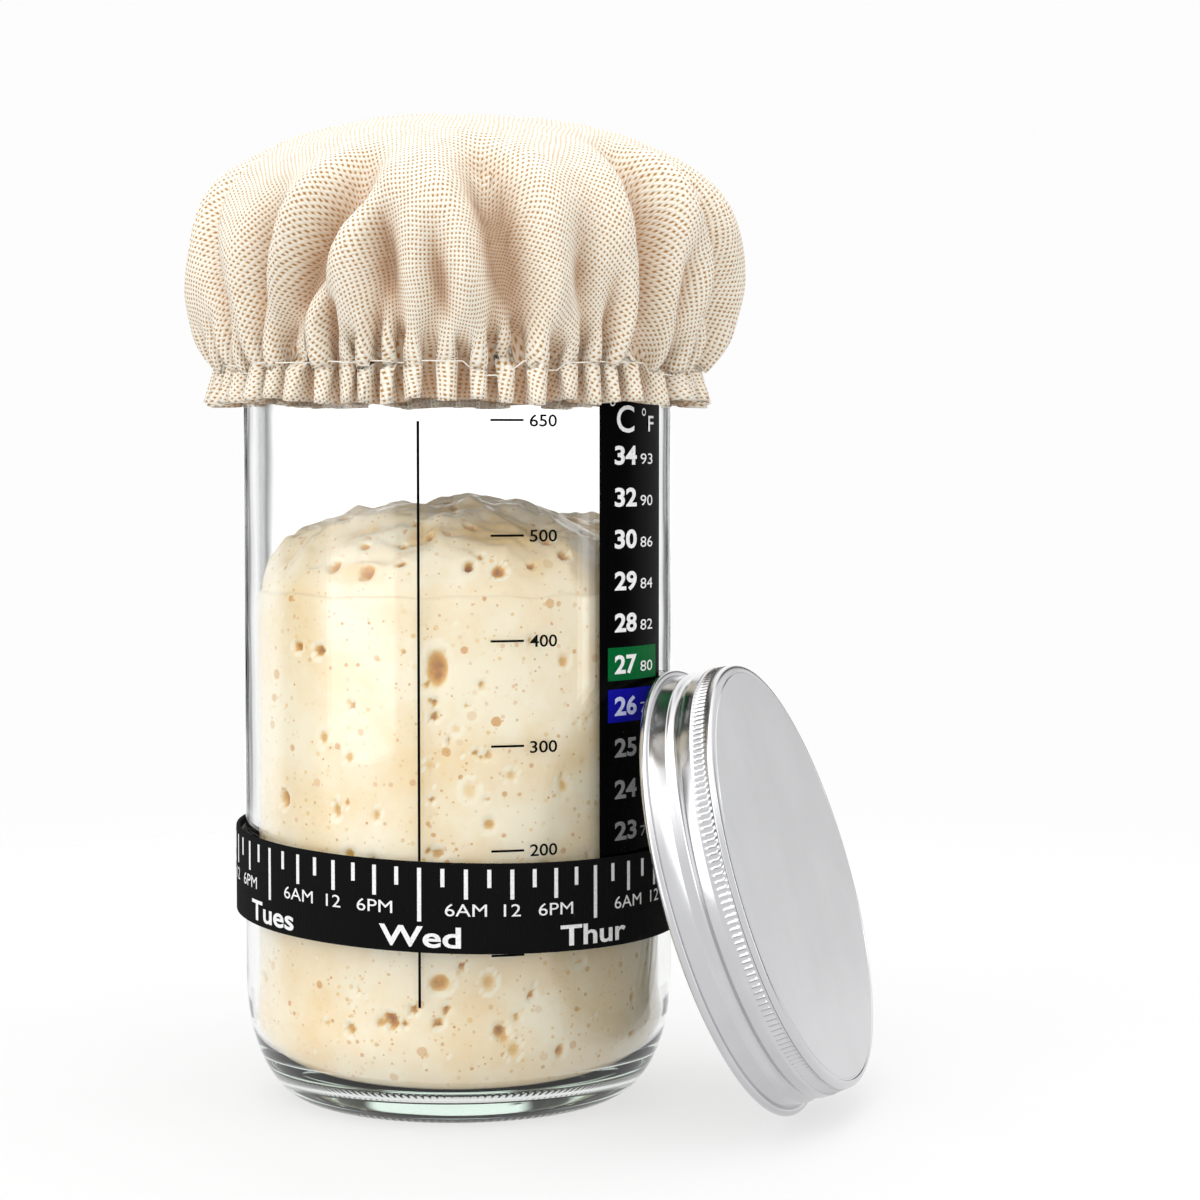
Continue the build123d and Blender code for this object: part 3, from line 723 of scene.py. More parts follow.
def film_material(name, colour, roughness):
    """Printed film with the slight unevenness of one that is stuck on by hand."""
    paint = Finish(name)
    place = paint.object_place()
    mottle = paint.noise(place, 1500.0, 2.0)
    paint.colour_from(paint.ramp(mottle, [(0.3, shaded(colour, 0.8)), (0.7, colour)]))
    paint.set(Roughness=roughness, Specular_IOR_Level=0.02)
    paint.bump_from(paint.noise(place, 55.0, 2.0), 0.1 * MM, 0.5)
    return paint.material


def metal_material(name, colour, roughness):
    """Satin aluminium with a fine grain."""
    paint = Finish(name)
    place = paint.object_place()
    grain = paint.noise(place, 1400.0, 3.0, 0.6)
    cloud = paint.noise(place, 40.0, 3.0, 0.6)
    paint.colour_from(paint.ramp(cloud, [(0.35, shaded(colour, 0.93)), (0.65, colour)]))
    paint.set(Metallic=1.0)
    shine = paint.spread(grain, 0.0, 1.0, roughness * 0.85, roughness * 1.2)
    paint.links.new(shine, paint.shader.inputs["Roughness"])
    paint.bump_from(grain, 0.02 * MM, 0.35)
    return paint.material


def rubber_material(name, colour, roughness):
    """Plain rubber or foam with a fine grain."""
    paint = Finish(name)
    grain = paint.noise(paint.object_place(), 900.0, 3.0, 0.6)
    paint.colour_from(paint.ramp(grain, [(0.3, shaded(colour, 0.85)), (0.7, colour)]))
    paint.set(Roughness=roughness)
    paint.bump_from(grain, 0.05 * MM, 0.4)
    return paint.material


def shaded(colour, share):
    """A darker tone of a colour."""
    return tuple(channel * share for channel in colour)


def dress_node(node, material):
    """Gives a CAD node that stays its finish."""
    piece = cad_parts[node]
    piece.data.materials.clear()
    piece.data.materials.append(material)


# The glass jar


# Height of the rounded rim, and the spacings of the section's points on plain walls and along the thread
RIM_HEIGHT = 1.4 * MM
PLAIN_ROWS = 6 * MM
THREAD_ROWS = 0.45 * MM


def jar_section(settings):
    """The wall of the jar as one run of points, from under the foot, up the outside and down the inside."""
    side = BODY_RADIUS
    foot = side - settings.heel_width
    inside = side - settings.wall
    neck = side - settings.neck_inset
    mouth = neck - settings.neck_wall
    rim_low = JAR_HEIGHT - RIM_HEIGHT
    neck_low = JAR_HEIGHT - settings.neck_height
    shoulder_low = neck_low - settings.shoulder_height
    bend = settings.shoulder_round
    recess = settings.recess
    ring_inner = foot - settings.ring_width
    under = [(0, recess), (ring_inner - recess, recess), (ring_inner, 0), (foot, 0)]
    section = rounded(under, [0.5 * MM, 0.5 * MM], 4)
    heel = settings.heel_height
    section += arc((foot, heel), (settings.heel_width, heel), -90, 0, 26)[1:]
    section += rows((side, heel), (side, shoulder_low - bend), PLAIN_ROWS)
    shoulder = [(side, shoulder_low - 4 * MM), (side, shoulder_low)]
    shoulder += [(neck, neck_low), (neck, neck_low + 0.9 * MM)]
    section += rounded(shoulder, [bend / 2, bend / 4])[1:]
    section += arc((neck, neck_low + settings.bead_lift), (settings.bead_radius,) * 2, -80, 80, 8)
    section += rows((neck, section[-1][1]), (neck, rim_low), THREAD_ROWS)
    rim = [(neck, rim_low), (neck, JAR_HEIGHT), (mouth, JAR_HEIGHT), (mouth, neck_low)]
    section += rounded(rim, [1.3 * MM, 1.3 * MM])[:-1]
    side_high = shoulder_low - 6 * MM
    shoulder = [(mouth, JAR_HEIGHT - 4 * MM), (mouth, neck_low), (inside, shoulder_low), (inside, side_high)]
    section += rounded(shoulder, [bend / 2, bend / 2])[1:-1]
    inner_low = settings.floor_level + settings.inner_heel_height
    section += rows((inside, side_high), (inside, inner_low), PLAIN_ROWS)
    inner_heel = (settings.inner_heel_width, settings.inner_heel_height)
    section += arc((inside - inner_heel[0], inner_low), inner_heel, 0, -90, 20)
    return section + [(0, settings.floor_level)]


def raise_thread(bm, settings):
    """Moves the neck's outside out along a helix that fades in and out at its ends."""
    fade_turns = 0.05
    neck = BODY_RADIUS - settings.neck_inset
    start = JAR_HEIGHT - settings.thread_drop
    low = JAR_HEIGHT - settings.neck_height + settings.bead_lift + settings.bead_radius
    for vert in bm.verts:
        radius = radius_of(vert.co)
        if abs(radius - neck) > 0.01 * MM or not low < vert.co.z < JAR_HEIGHT - RIM_HEIGHT:
            continue
        turn = math.atan2(vert.co.y, vert.co.x) / ROUND % 1.0
        out = 0.0
        for lap in range(math.ceil(settings.thread_turns) + 1):
            along = turn + lap
            if along > settings.thread_turns:
                continue
            away = abs(vert.co.z - start - settings.thread_pitch * along)
            fade = smooth_step(along / fade_turns) * smooth_step((settings.thread_turns - along) / fade_turns)
            out = max(out, settings.thread_depth * fade * smooth_step(1.35 - 2 * away / settings.thread_base))
        widen(vert.co, (radius + out) / radius)


class STARTERJAR_OT_glass(bpy.types.Operator):
    """Makes the glass jar with its foot ring, neck, bead and thread"""

    bl_idname = "starter_jar.glass"
    bl_label = "Glass Jar"

    def execute(self, context):
        settings = context.scene.starter_jar.glass
        bm = spin_section(jar_section(settings), GLASS_STEPS)
        raise_thread(bm, settings)
        finish_piece(bm, "jar_glass", glass_material(settings), "jar", ["glass_jar"], 50)
        return {"FINISHED"}


# The starter

# Seed of the noise that makes the bubbles' outlines uneven, which would else differ from run to run
OUTLINE_SEED = 5

# (azimuth in degrees, height, radius, height over width, depth) of the bubbles that stand out
LARGE_BUBBLES = [
    (-3.0, 87.6, 2.6, 1.7, 1.0),
    (-2.6, 28.6, 2.5, 0.9, 0.85),
    (10.5, 28.8, 1.7, 1.25, 0.4),
    (-3.0, 21.2, 1.3, 0.8, 1.3),
    (-15.2, 20.8, 1.5, 0.8, 1.3),
    (-18.6, 20.8, 1.3, 0.9, 0.7),
    (-12.0, 21.0, 0.9, 0.9, 1.2),
    (-9.6, 23.4, 1.1, 1.0, 1.2),
    (-0.9, 23.8, 0.9, 1.0, 1.1),
    (3.2, 31.8, 0.95, 1.2, 1.1),
    (-25.0, 26.7, 0.9, 1.0, 0.5),
    (-27.6, 19.4, 1.0, 1.4, 0.8),
    (14.6, 18.2, 1.3, 0.9, 0.5),
    (17.9, 22.0, 1.0, 1.0, 0.6),
    (-31.5, 60.6, 1.0, 2.1, 0.6),
    (-19.4, 60.0, 1.0, 1.5, 0.5),
    (-4.0, 81.2, 1.0, 0.9, 1.1),
    (-3.9, 78.6, 1.1, 0.9, 1.2),
    (-0.2, 74.2, 0.7, 1.1, 0.9),
    (8.7, 71.0, 0.9, 0.9, 0.6),
    (10.4, 71.6, 0.7, 1.2, 0.6),
    (16.5, 67.6, 1.3, 1.0, 0.35),
    (5.5, 64.8, 1.9, 1.15, 0.25),
    (1.8, 76.4, 1.1, 1.0, 0.25),
    (8.8, 84.4, 0.75, 1.1, 0.7),
    (5.0, 81.1, 0.75, 0.9, 0.5),
    (-4.6, 63.2, 0.75, 1.0, 0.8),
    (9.9, 63.2, 0.7, 1.0, 0.5),
    (-2.8, 53.0, 1.5, 0.8, 0.7),
    (-5.6, 53.4, 0.9, 0.7, 0.9),
    (-36.0, 74.0, 1.4, 1.3, 0.5),
    (26.0, 50.0, 1.2, 0.9, 0.6),
    (22.0, 26.0, 0.9, 1.2, 1.0),
]

# (azimuth in degrees, share of the radius, radius, depth) of the holes on top that stand out
TOP_HOLES = [
    (-36.0, 0.93, 1.7, 2.6),
    (-15.5, 0.82, 1.2, 1.6),
    (-7.0, 0.76, 1.1, 1.4),
    (5.6, 0.93, 1.3, 2.6),
    (9.0, 0.9, 0.9, 1.5),
    (-14.0, 0.92, 0.9, 1.4),
    (14.0, 0.95, 1.6, 1.2),
    (24.0, 0.93, 1.0, 1.4),
    (-8.0, 0.55, 1.2, 1.0),
    (2.0, 0.5, 1.4, 1.0),
    (-24.0, 0.95, 2.1, 1.4),
]


def starter_section(settings, glass):
    """Under the starter, up its side along the glass and over its dome, in rows fine enough for bubbles."""
    out = BODY_RADIUS - glass.wall - settings.film_gap
    low = glass.floor_level + settings.film_gap
    heel_top = low + glass.inner_heel_height - settings.film_gap
    heel_size = (glass.inner_heel_width, glass.inner_heel_height)
    heel = arc((out - heel_size[0], heel_top), heel_size, -90, 0, 20)
    side = rows((out, heel_top), (out, settings.level), 0.8 * MM)
    lip = arc((out - settings.lip, settings.level), (settings.lip, settings.lip * 0.6), 0, 70, 4)
    lip_radius, lip_level = lip[-1]
    dome = arc((0, lip_level), (lip_radius, settings.level + settings.crown - lip_level), 0, 90, 72)[1:]
    return [(0, low)] + rows((0, low), heel[0], 8 * MM) + heel + side + lip + dome


def side_bubbles(settings, glass):
    """(place, radius, height over width, depth) of every bubble along the glass."""
    out = BODY_RADIUS - glass.wall
    chance = random.Random(41)
    bubbles = []
    for degrees, height, radius, tall, depth in LARGE_BUBBLES:
        bubbles.append((round_point(math.radians(degrees), out, height * MM), radius * MM, tall, depth * MM))
    for _ in range(settings.bubbles):
        azimuth = chance.uniform(0, ROUND)
        height = 10 * MM + (settings.level - 11 * MM) * chance.random() ** 1.15
        radius = 0.42 * MM + 1.3 * MM * chance.random() ** 4
        tall = chance.uniform(0.75, 1.35)
        depth = radius * chance.choice((0.25, 0.4, 0.7, 0.9))
        bubbles.append((round_point(azimuth, out, height), radius, tall, depth))
    return bubbles


def top_holes(settings, glass):
    """(place, radius, height over width, depth) of every burst bubble on the dome."""
    out = BODY_RADIUS - glass.wall
    chance = random.Random(17)
    holes = [(math.radians(d), share, r * MM, deep * MM) for d, share, r, deep in TOP_HOLES]
    for _ in range(settings.craters):
        radius = chance.uniform(0.5, 1.5) * MM
        azimuth = chance.uniform(0, ROUND)
        share = chance.random() ** 0.6 * 0.95
        holes.append((azimuth, share, radius, radius * chance.uniform(0.5, 1.2)))
    placed = []
    for azimuth, share, radius, depth in holes:
        height = settings.level + settings.crown * math.sqrt(1 - share * share)
        placed.append((round_point(azimuth, out * share, height), radius, 1.0, depth))
    return placed


def press_bubbles(bm, bubbles, level_low, level_high, into):
    """Presses bubbles into the verts between two heights. A layer notes the depth in each, below 0 on its
    rim; the material paints shade from the depth and a highlight on the rim."""
    flat_share = 0.45
    rim_share = 1.35
    full_depth = 1.1 * MM
    layer = bm.verts.layers.float.get("bubble") or bm.verts.layers.float.new("bubble")
    tree = KDTree(len(bubbles))
    for index, bubble in enumerate(bubbles):
        tree.insert(bubble[0], index)
    tree.balance()
    widest = max(bubble[1] * max(1.0, bubble[2]) for bubble in bubbles)
    for vert in bm.verts:
        if not level_low <= vert.co.z <= level_high:
            continue
        start = vert.co.copy()
        wander = noise.noise_vector(start * 420) * (0.35 * MM)
        push = Vector()
        for _, index, _ in tree.find_range(start, widest * 1.6):
            centre, radius, tall, depth = bubbles[index]
            offset = start + wander - centre
            offset.z /= tall
            reach = offset.length / radius
            if reach < 1.0:
                hollow = 1 - smooth_step((reach - flat_share) / (1 - flat_share))
                push += into(start) * (depth * hollow)
                shown = min(1.0, depth / full_depth) * hollow * (0.45 + 0.55 * smooth_step(1 - reach))
                vert[layer] = max(vert[layer], shown)
            elif reach < rim_share and vert[layer] <= 0:
                vert[layer] = min(vert[layer], -smooth_step((rim_share - reach) / 0.2))
        vert.co = start + push


def lump_top(bm, settings, glass):
    """Gives the dome its soft lumps, folds and a wavy line where it leaves the glass, and paints shade into
    the hollows between its lumps.
    """
    out = BODY_RADIUS - glass.wall
    layer = bm.verts.layers.float["bubble"]
    for vert in bm.verts:
        if vert.co.z < settings.level - 0.1 * MM:
            continue
        radius = radius_of(vert.co)
        free = smooth_step((out - radius) / (4 * MM))
        broad = noise.noise(vert.co * 55 + Vector((3.1, 0.4, 8.2)))
        lumps = noise.noise(vert.co * 130 + Vector((0.7, 5.2, 1.9)))
        folds = 1 - abs(noise.noise(vert.co * 75 + Vector((9.4, 2.2, 4.1)))) * 3
        fine = noise.noise(vert.co * 380)
        rise = settings.lump * (broad + 0.8 * lumps + 0.5 * max(0.0, folds) + 0.3 * fine)
        # Painted shade: the hollows between the lumps are tinted tan through the bubble layer
        vert[layer] = 0.22 * smooth_step(-2.2 * lumps) * free
        edge = noise.noise(Vector((vert.co.x, vert.co.y, 0)) * 120) * 0.9 * MM
        vert.co.z += rise * free + edge * (1 - free)
        if free < 1.0 and radius > 0:
            widen(vert.co, 1 - 0.004 * (1 - abs(1 - 2 * free)))


class STARTERJAR_OT_starter(bpy.types.Operator):
    """Makes the risen starter with its bubbles and its domed top"""

    bl_idname = "starter_jar.starter"
    bl_label = "Starter"

    def execute(self, context):
        settings = context.scene.starter_jar.starter
        glass = context.scene.starter_jar.glass
        bm = spin_section(starter_section(settings, glass), STARTER_STEPS)

        noise.seed_set(OUTLINE_SEED)
        side_low, side_high = 8 * MM, settings.level - 0.5 * MM
        top_low = settings.level + 0.6 * MM

        def inwards(place):
            return -Vector((place.x, place.y, 0)).normalized()

        def downwards(place):
            return Vector((-place.x * 3, -place.y * 3, -0.06)).normalized()

        press_bubbles(bm, side_bubbles(settings, glass), side_low, side_high, inwards)
        lump_top(bm, settings, glass)
        press_bubbles(bm, top_holes(settings, glass), top_low, JAR_HEIGHT, downwards)
        finish_piece(bm, "starter_dough", starter_material(settings), "jar", ["sourdough_starter"])
        return {"FINISHED"}


# The printed scale and the thermometer strip

VOLUME_NUMBERS = ["200", "300", "400", "500", "650"]
CELSIUS = ["23", "24", "25", "26", "27", "28", "29", "30", "32", "34"]
FAHRENHEIT = ["73", "75", "77", "79", "80", "82", "84", "86", "90", "93"]


# How far the printed numbers and the thermometer's digits stand out from the side of the jar
NUMBER_LIFT = 0.06 * MM
DIGIT_LIFT = 0.32 * MM

# (letter, azimuth in degrees, lift, height, width, ring's azimuth, ring's lift) of the thermometer's units;
# lifts are above the height of the two signs
UNIT_SIGNS = [
    ("C", 50.7, 0.0, 5.3, 5.3, 45.65, 2.95),
    ("F", 62.6, -0.9, 3.1, 2.2, 58.8, 1.2),
]
DEGREE_RING = 0.75 * MM


def strip_rows():
    """The height of every row of the thermometer, from the plain and blue cells of the frame."""
    low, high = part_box("thermometer_cells")
    blue_low, blue_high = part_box("thermometer_blue_cell")
    half = (blue_high.z - blue_low.z) / 2
    first = low.z + half
    last = high.z - half
    return [first + (last - first) * row / (len(CELSIUS) - 1) for row in range(len(CELSIUS))]


def tick_levels():
    """The height of the middle of every printed tick, from the lowest up."""
    step = 2 * MM
    verts = [v.co.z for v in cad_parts["volume_ticks"].data.vertices]
    levels = []
    for level in sorted({round(z / step) for z in verts}):
        near = [z for z in verts if abs(z - level * step) < 1.2 * MM]
        middle = (min(near) + max(near)) / 2
        if not levels or middle - levels[-1] > 5 * MM:
            levels.append(middle)
    return levels


def degree_ring(name, azimuth, height, radius, material):
    """The small ring of a degree sign, laid on the strip."""
    bm = bmesh.new()
    bmesh.ops.create_circle(bm, cap_ends=False, radius=DEGREE_RING, segments=24)
    made = bmesh.ops.extrude_edge_only(bm, edges=bm.edges[:])
    inner = [item for item in made["geom"] if isinstance(item, bmesh.types.BMVert)]
    bmesh.ops.scale(bm, verts=inner, vec=(0.62, 0.62, 1))
    for vert in bm.verts:
        vert.co = round_point(azimuth + vert.co.x / radius, radius, height + vert.co.y)
    bmesh.ops.recalc_face_normals(bm, faces=bm.faces)
    return finish_piece(bm, name, material, "jar")


class STARTERJAR_OT_scale(bpy.types.Operator):
    """Prints the volume numbers on the glass and the pointer line's and ticks' ink"""

    bl_idname = "starter_jar.scale"
    bl_label = "Printed Scale"

    def execute(self, context):
        settings = context.scene.starter_jar.scale
        azimuth, cap, width = settings.number_azimuth, settings.number_cap, settings.number_width
        radius = BODY_RADIUS + NUMBER_LIFT
        ink = film_material("printing_ink", settings.ink, 0.45)
        dress_node("pointer_line", ink)
        dress_node("volume_ticks", ink)
        for words, height in zip(VOLUME_NUMBERS, tick_levels()[1:]):
            name = f"number_{words}"
            wrapped_words(name, words, azimuth, height, radius, cap, ink, "jar", "black_ink", 0.012, width)
        return {"FINISHED"}


class STARTERJAR_OT_thermometer(bpy.types.Operator):
    """Finishes the thermometer strip, its cells and its two columns of digits"""

    bl_idname = "starter_jar.thermometer"
    bl_label = "Thermometer Strip"

    def execute(self, context):
        settings = context.scene.starter_jar.scale
        dress_node("thermometer_film", film_material("strip_film", settings.film, 0.16))
        dress_node("thermometer_cells", film_material("resting_cell", settings.film, 0.2))
        dress_node("thermometer_blue_cell", film_material("blue_cell", settings.blue, 0.2))
        dress_node("thermometer_green_cell", film_material("green_cell", settings.green, 0.2))
        white = film_material("strip_white", linear(240, 240, 240), 0.3)
        dim = film_material("strip_grey", linear(150, 150, 152), 0.3)
        pale_blue = film_material("strip_pale_blue", linear(200, 205, 236), 0.3)
        radius = BODY_RADIUS + DIGIT_LIFT

        def digits(name, words, azimuth, height, cap, width, tone, bold=0.0):
            wrapped_words(name, words, azimuth, height, radius, cap, tone, "jar", "black_film", bold, width)

        tones = [dim, dim, dim, pale_blue] + [white] * 6
        cap, width = settings.large_cap, settings.large_width
        small, narrow = settings.small_cap, settings.small_width
        for words, minor, tone, height in zip(CELSIUS, FAHRENHEIT, tones, strip_rows()):
            digits(f"celsius_{words}", words, settings.large_azimuth, height, cap, width, tone, 0.03)
            height += (small - cap) / 2
            digits(f"fahrenheit_{minor}", minor, settings.small_azimuth, height, small, narrow, tone)
        for words, degrees, lift, cap, width, ring_degrees, ring_lift in UNIT_SIGNS:
            azimuth, height = math.radians(degrees), settings.header + lift * MM
            digits(f"unit_{words}", words, azimuth, height, cap * MM, width * MM, white, 0.008)
            azimuth, height = math.radians(ring_degrees), settings.header + ring_lift * MM
            degree_ring(f"degree_{words}", azimuth, height, radius, white)
        return {"FINISHED"}


# The day band

DAYS = ["Sun", "Mon", "Tues", "Wed", "Thur", "Fri", "Sat"]
HOURS = ["6AM", "12", "6PM"]


def band_level(settings, azimuth, radius, level):
    """Height of a level of the slanting band, measured from its middle."""
    along = math.cos(azimuth - settings.low_azimuth)
    return settings.middle + level / math.cos(settings.tilt) - radius * math.tan(settings.tilt) * along


def slant(bm, settings):
    """Lowers a level ring to the slant of the band."""
    for vert in bm.verts:
        vert.co.z = band_level(settings, azimuth_of(vert.co), radius_of(vert.co), vert.co.z)


# How far the woven words stand on the webbing
WORD_LIFT = 0.1 * MM


def webbing_ring(settings):
    """The level ring of the webbing, with rounded edges and an outside that ripples a little."""
    outside = BAND_OUTSIDE
    inside = outside - settings.thickness
    half = settings.height / 2
    edge = settings.thickness * 0.45
    corners = [(inside, 0), (inside, half), (outside, half), (outside, -half), (inside, -half), (inside, 0)]
    bm = spin_section(rounded(corners, [edge] * 4, 5)[:-1], WEBBING_STEPS, closed=True)
    for vert in bm.verts:
        radius = radius_of(vert.co)
        out = smooth_step((radius - inside) / settings.thickness)
        azimuth = azimuth_of(vert.co)
        place = Vector((math.sin(azimuth) * 4, math.cos(azimuth) * 4, vert.co.z * 60))
        ripple = noise.noise(place) * 0.06 * MM
        widen(vert.co, (radius + ripple * out) / radius)
    return bm


class STARTERJAR_OT_band(bpy.types.Operator):
    """Makes the ribbed webbing of the day band with its marks, words and seam"""

    bl_idname = "starter_jar.band"
    bl_label = "Day Band"

    def execute(self, context):
        settings = context.scene.starter_jar.band
        bm = webbing_ring(settings)
        slant(bm, settings)
        webbing = webbing_material(settings)
        finish_piece(bm, "day_band_webbing", webbing, "day_band", ["band_webbing"], 60)
        white = fibre_material("woven_white", settings.print_white, 2600.0, 0.7, 0.04 * MM)
        dress_node("band_marks", white)
        dress_node("band_seam_lap", webbing)
        dress_node("band_seam_stitches", fibre_material("black_sewing_thread", linear(40, 40, 42), 2000.0))
        dress_node("band_rubber", rubber_material("core_rubber", linear(58, 58, 58), 0.6))
        radius = BAND_OUTSIDE + WORD_LIFT

        def slope(azimuth):
            return band_level(settings, azimuth, radius, 0)

        def woven(name, words, azimuth, drop, cap, bold, stretch):
            height = band_level(settings, azimuth, radius, settings.height / 2 - drop)
            style = {"bold": bold, "stretch": stretch, "slope": slope}
            wrapped_words(name, words, azimuth, height, radius, cap, white, "day_band", "white_yarn", **style)

        first = settings.day_azimuth - 3 * settings.day_angle
        for day, words in enumerate(DAYS):
            azimuth = first + day * settings.day_angle
            # An M closes up when its outline is made bold
            bold = 0.0 if "M" in words else 0.02
            woven(f"day_{words}", words, azimuth, settings.day_drop, settings.day_cap, bold, 1.42)
            for part, label in enumerate(HOURS):
                place = azimuth + settings.day_angle * (part + 1) / 4
                woven(f"hour_{day}_{label}", label, place, settings.hour_drop, settings.hour_cap, 0.0, 1.28)
        return {"FINISHED"}


# The cloth cover

# (azimuth where it starts, azimuth at the elastic, half-width, depth, where it starts) of the hollows
# between the large folds, in degrees and millimetres; the start is a share of the way to the elastic
HOLLOWS = [
    (-20, -38, 5.0, 14.5, 0.46),
    (6, 15, 6.0, 13.5, 0.42),
    (44, 47, 5.0, 13.5, 0.4),
    (62, 76, 5.2, 11.0, 0.42),
    (-66, -62, 4.8, 11.0, 0.42),
    (-40, -48, 4.5, 7.5, 0.56),
    (-16, -11, 4.5, 8.0, 0.56),
    (27, 31, 4.5, 6.5, 0.62),
    (-4, 1, 3.6, 6.0, 0.64),
    (36, 38, 3.2, 5.0, 0.7),
    (-28, -25, 3.2, 5.0, 0.72),
    (56, 58, 3.5, 6.0, 0.66),
    (-54, -54, 3.2, 5.0, 0.7),
]


def all_hollows():
    """The listed hollows of the front, and seeded ones round the sides and back."""
    chance = random.Random(23)
    hollows = list(HOLLOWS)
    place = 92.0
    while place < 276:
        end = place + chance.uniform(-8, 8)
        width = chance.uniform(3.5, 6.5)
        depth = chance.uniform(5, 11)
        hollows.append((place, end, width, depth, chance.uniform(0.4, 0.66)))
        place += chance.uniform(11, 20)
    return hollows


def cover_profile(settings):
    """(distance along the cloth, radius, height) down the puffed cover, from its middle to its elastic."""
    widest = settings.widest_level
    rise = settings.crown_level - widest
    blend = 2 / settings.fullness
    top_steps, tuck_steps = 120, 60
    points = []
    for step in range(top_steps + 1):
        turn = math.pi / 2 * step / top_steps
        points.append((settings.bulge * math.sin(turn) ** blend, widest + rise * math.cos(turn) ** blend))
    tuck = settings.bulge - settings.tuck_radius
    drop = widest - settings.gather_level
    for step in range(1, tuck_steps + 1):
        turn = math.asin(drop / settings.tuck_height) * step / tuck_steps
        radius = settings.tuck_radius + tuck * math.cos(turn)
        points.append((radius, widest - settings.tuck_height * math.sin(turn)))
    profile = [(0.0, *points[0])]
    for before, after in zip(points, points[1:]):
        profile.append((profile[-1][0] + math.dist(before, after), *after))
    return profile


def profile_place(profile, along):
    """Radius, height and the outward direction (across, up) at a distance down the profile."""
    index = min(bisect.bisect_left([point[0] for point in profile], along), len(profile) - 1)
    index = max(index, 1)
    before, after = profile[index - 1], profile[index]
    share = (along - before[0]) / (after[0] - before[0])
    across, down = after[1] - before[1], after[2] - before[2]
    length = math.hypot(across, down)
    return before[1] + across * share, before[2] + down * share, (-down / length, across / length)


def pleat_phase(settings, azimuth):
    """Turn of the pleats at an azimuth: uneven, and the same again after a whole round."""
    wander = 1.6 * math.sin(3 * azimuth + 0.7) + 1.1 * math.sin(7 * azimuth + 2.1)
    wander += 0.9 * math.sin(13 * azimuth + 4.0)
    return settings.pleats * azimuth + wander


def round_noise(azimuth, layer, scale):
    """Smooth noise round the jar, the same again after a whole round."""
    return noise.noise(Vector((math.sin(azimuth), math.cos(azimuth), layer)) * scale)


def pleat_unevenness(azimuth):
    """How much deeper than usual the pleats are at an azimuth."""
    return 1 + 0.45 * round_noise(azimuth, 5, 9)


def hollow_push(hollows, share, azimuth):
    """How far the hollows, with their raised edges, push the cloth out at a share of the way down."""
    push = 0.0
    for start, end, width, depth, begin in hollows:
        at = math.radians(start + (end - start) * smooth_step((share - begin) / (1 - begin)))
        away = (azimuth - at + math.pi) % ROUND - math.pi
        grow = smooth_step((share - begin) / 0.22) * (1 - 0.7 * smooth_step((share - 0.8) / 0.2))
        away /= math.radians(width) * (1.25 - 0.5 * share)
        pressed = -depth * MM * grow * math.exp(-abs(away) ** 1.6)
        raised = 0.22 * depth * MM * grow * math.exp(-((abs(away) - 1.8) ** 2))
        push += pressed + raised
    return push


def puffed_place(settings, profile, hollows, along, azimuth):
    """Where a point of the flat disc above the elastic starts from in the gathered cover."""
    share = along / profile[-1][0]
    phase = pleat_phase(settings, azimuth)
    radius, height, (out, up) = profile_place(profile, along)
    push = hollow_push(hollows, share, azimuth)
    crease = math.sin(phase / 2 + 0.6 * math.sin(5 * azimuth))
    push += 1.5 * MM * smooth_step((share - 0.62) / 0.3) * (1 - smooth_step((share - 0.9) / 0.1)) * crease
    pleat = settings.pleat_depth * smooth_step((share - 0.83) / 0.17) * pleat_unevenness(azimuth)
    push += pleat * math.sin(phase)
    push += 0.5 * MM * round_noise(azimuth, share * 2, 3)
    side = 0.0
    if share > 0.9:
        side = -0.5 * settings.pleat_depth * smooth_step((share - 0.9) / 0.1) * math.sin(2 * phase)
    turned = azimuth + side / max(radius, 10 * MM)
    sway = Vector((settings.shift * smooth_step((1 - share) / 0.35), 0, 0))
    radius += push * out
    if height < JAR_HEIGHT + 4 * MM:
        radius = max(radius, settings.clear_radius)
    return round_point(turned, radius, height + push * up) + sway


def ruffle_place(settings, profile, along, azimuth):
    """Where a point of the flat disc past the elastic starts from in the ruffle under it."""
    line, line_radius, line_level = profile[-1]
    past = (along - line) / settings.ruffle
    phase = pleat_phase(settings, azimuth)
    flare = 1 + 0.45 * past * (1 + 0.7 * round_noise(azimuth, 8, 8))
    flare *= pleat_unevenness(azimuth)
    radius = line_radius + settings.pleat_depth * flare * math.sin(phase + 0.5 * past * math.sin(4 * azimuth))
    radius += 0.8 * MM * past + 1.0 * MM * past * round_noise(azimuth, 0, 5)
    side = -0.5 * settings.pleat_depth * math.sin(2 * phase) * (1 - 0.3 * past)
    wave = 1.3 * MM * past * round_noise(azimuth, 2, 6)
    return round_point(azimuth + side / radius, radius, line_level - settings.ruffle * past * 0.97 + wave)


def open_edges(geometry, distance):
    """The outermost of some new edges of the flat disc, moved to a distance from its middle."""
    ring = [item for item in geometry if isinstance(item, bmesh.types.BMEdge) and item.is_boundary]
    for vert in {vert for edge in ring for vert in edge.verts}:
        vert.co *= distance / vert.co.length
    return ring


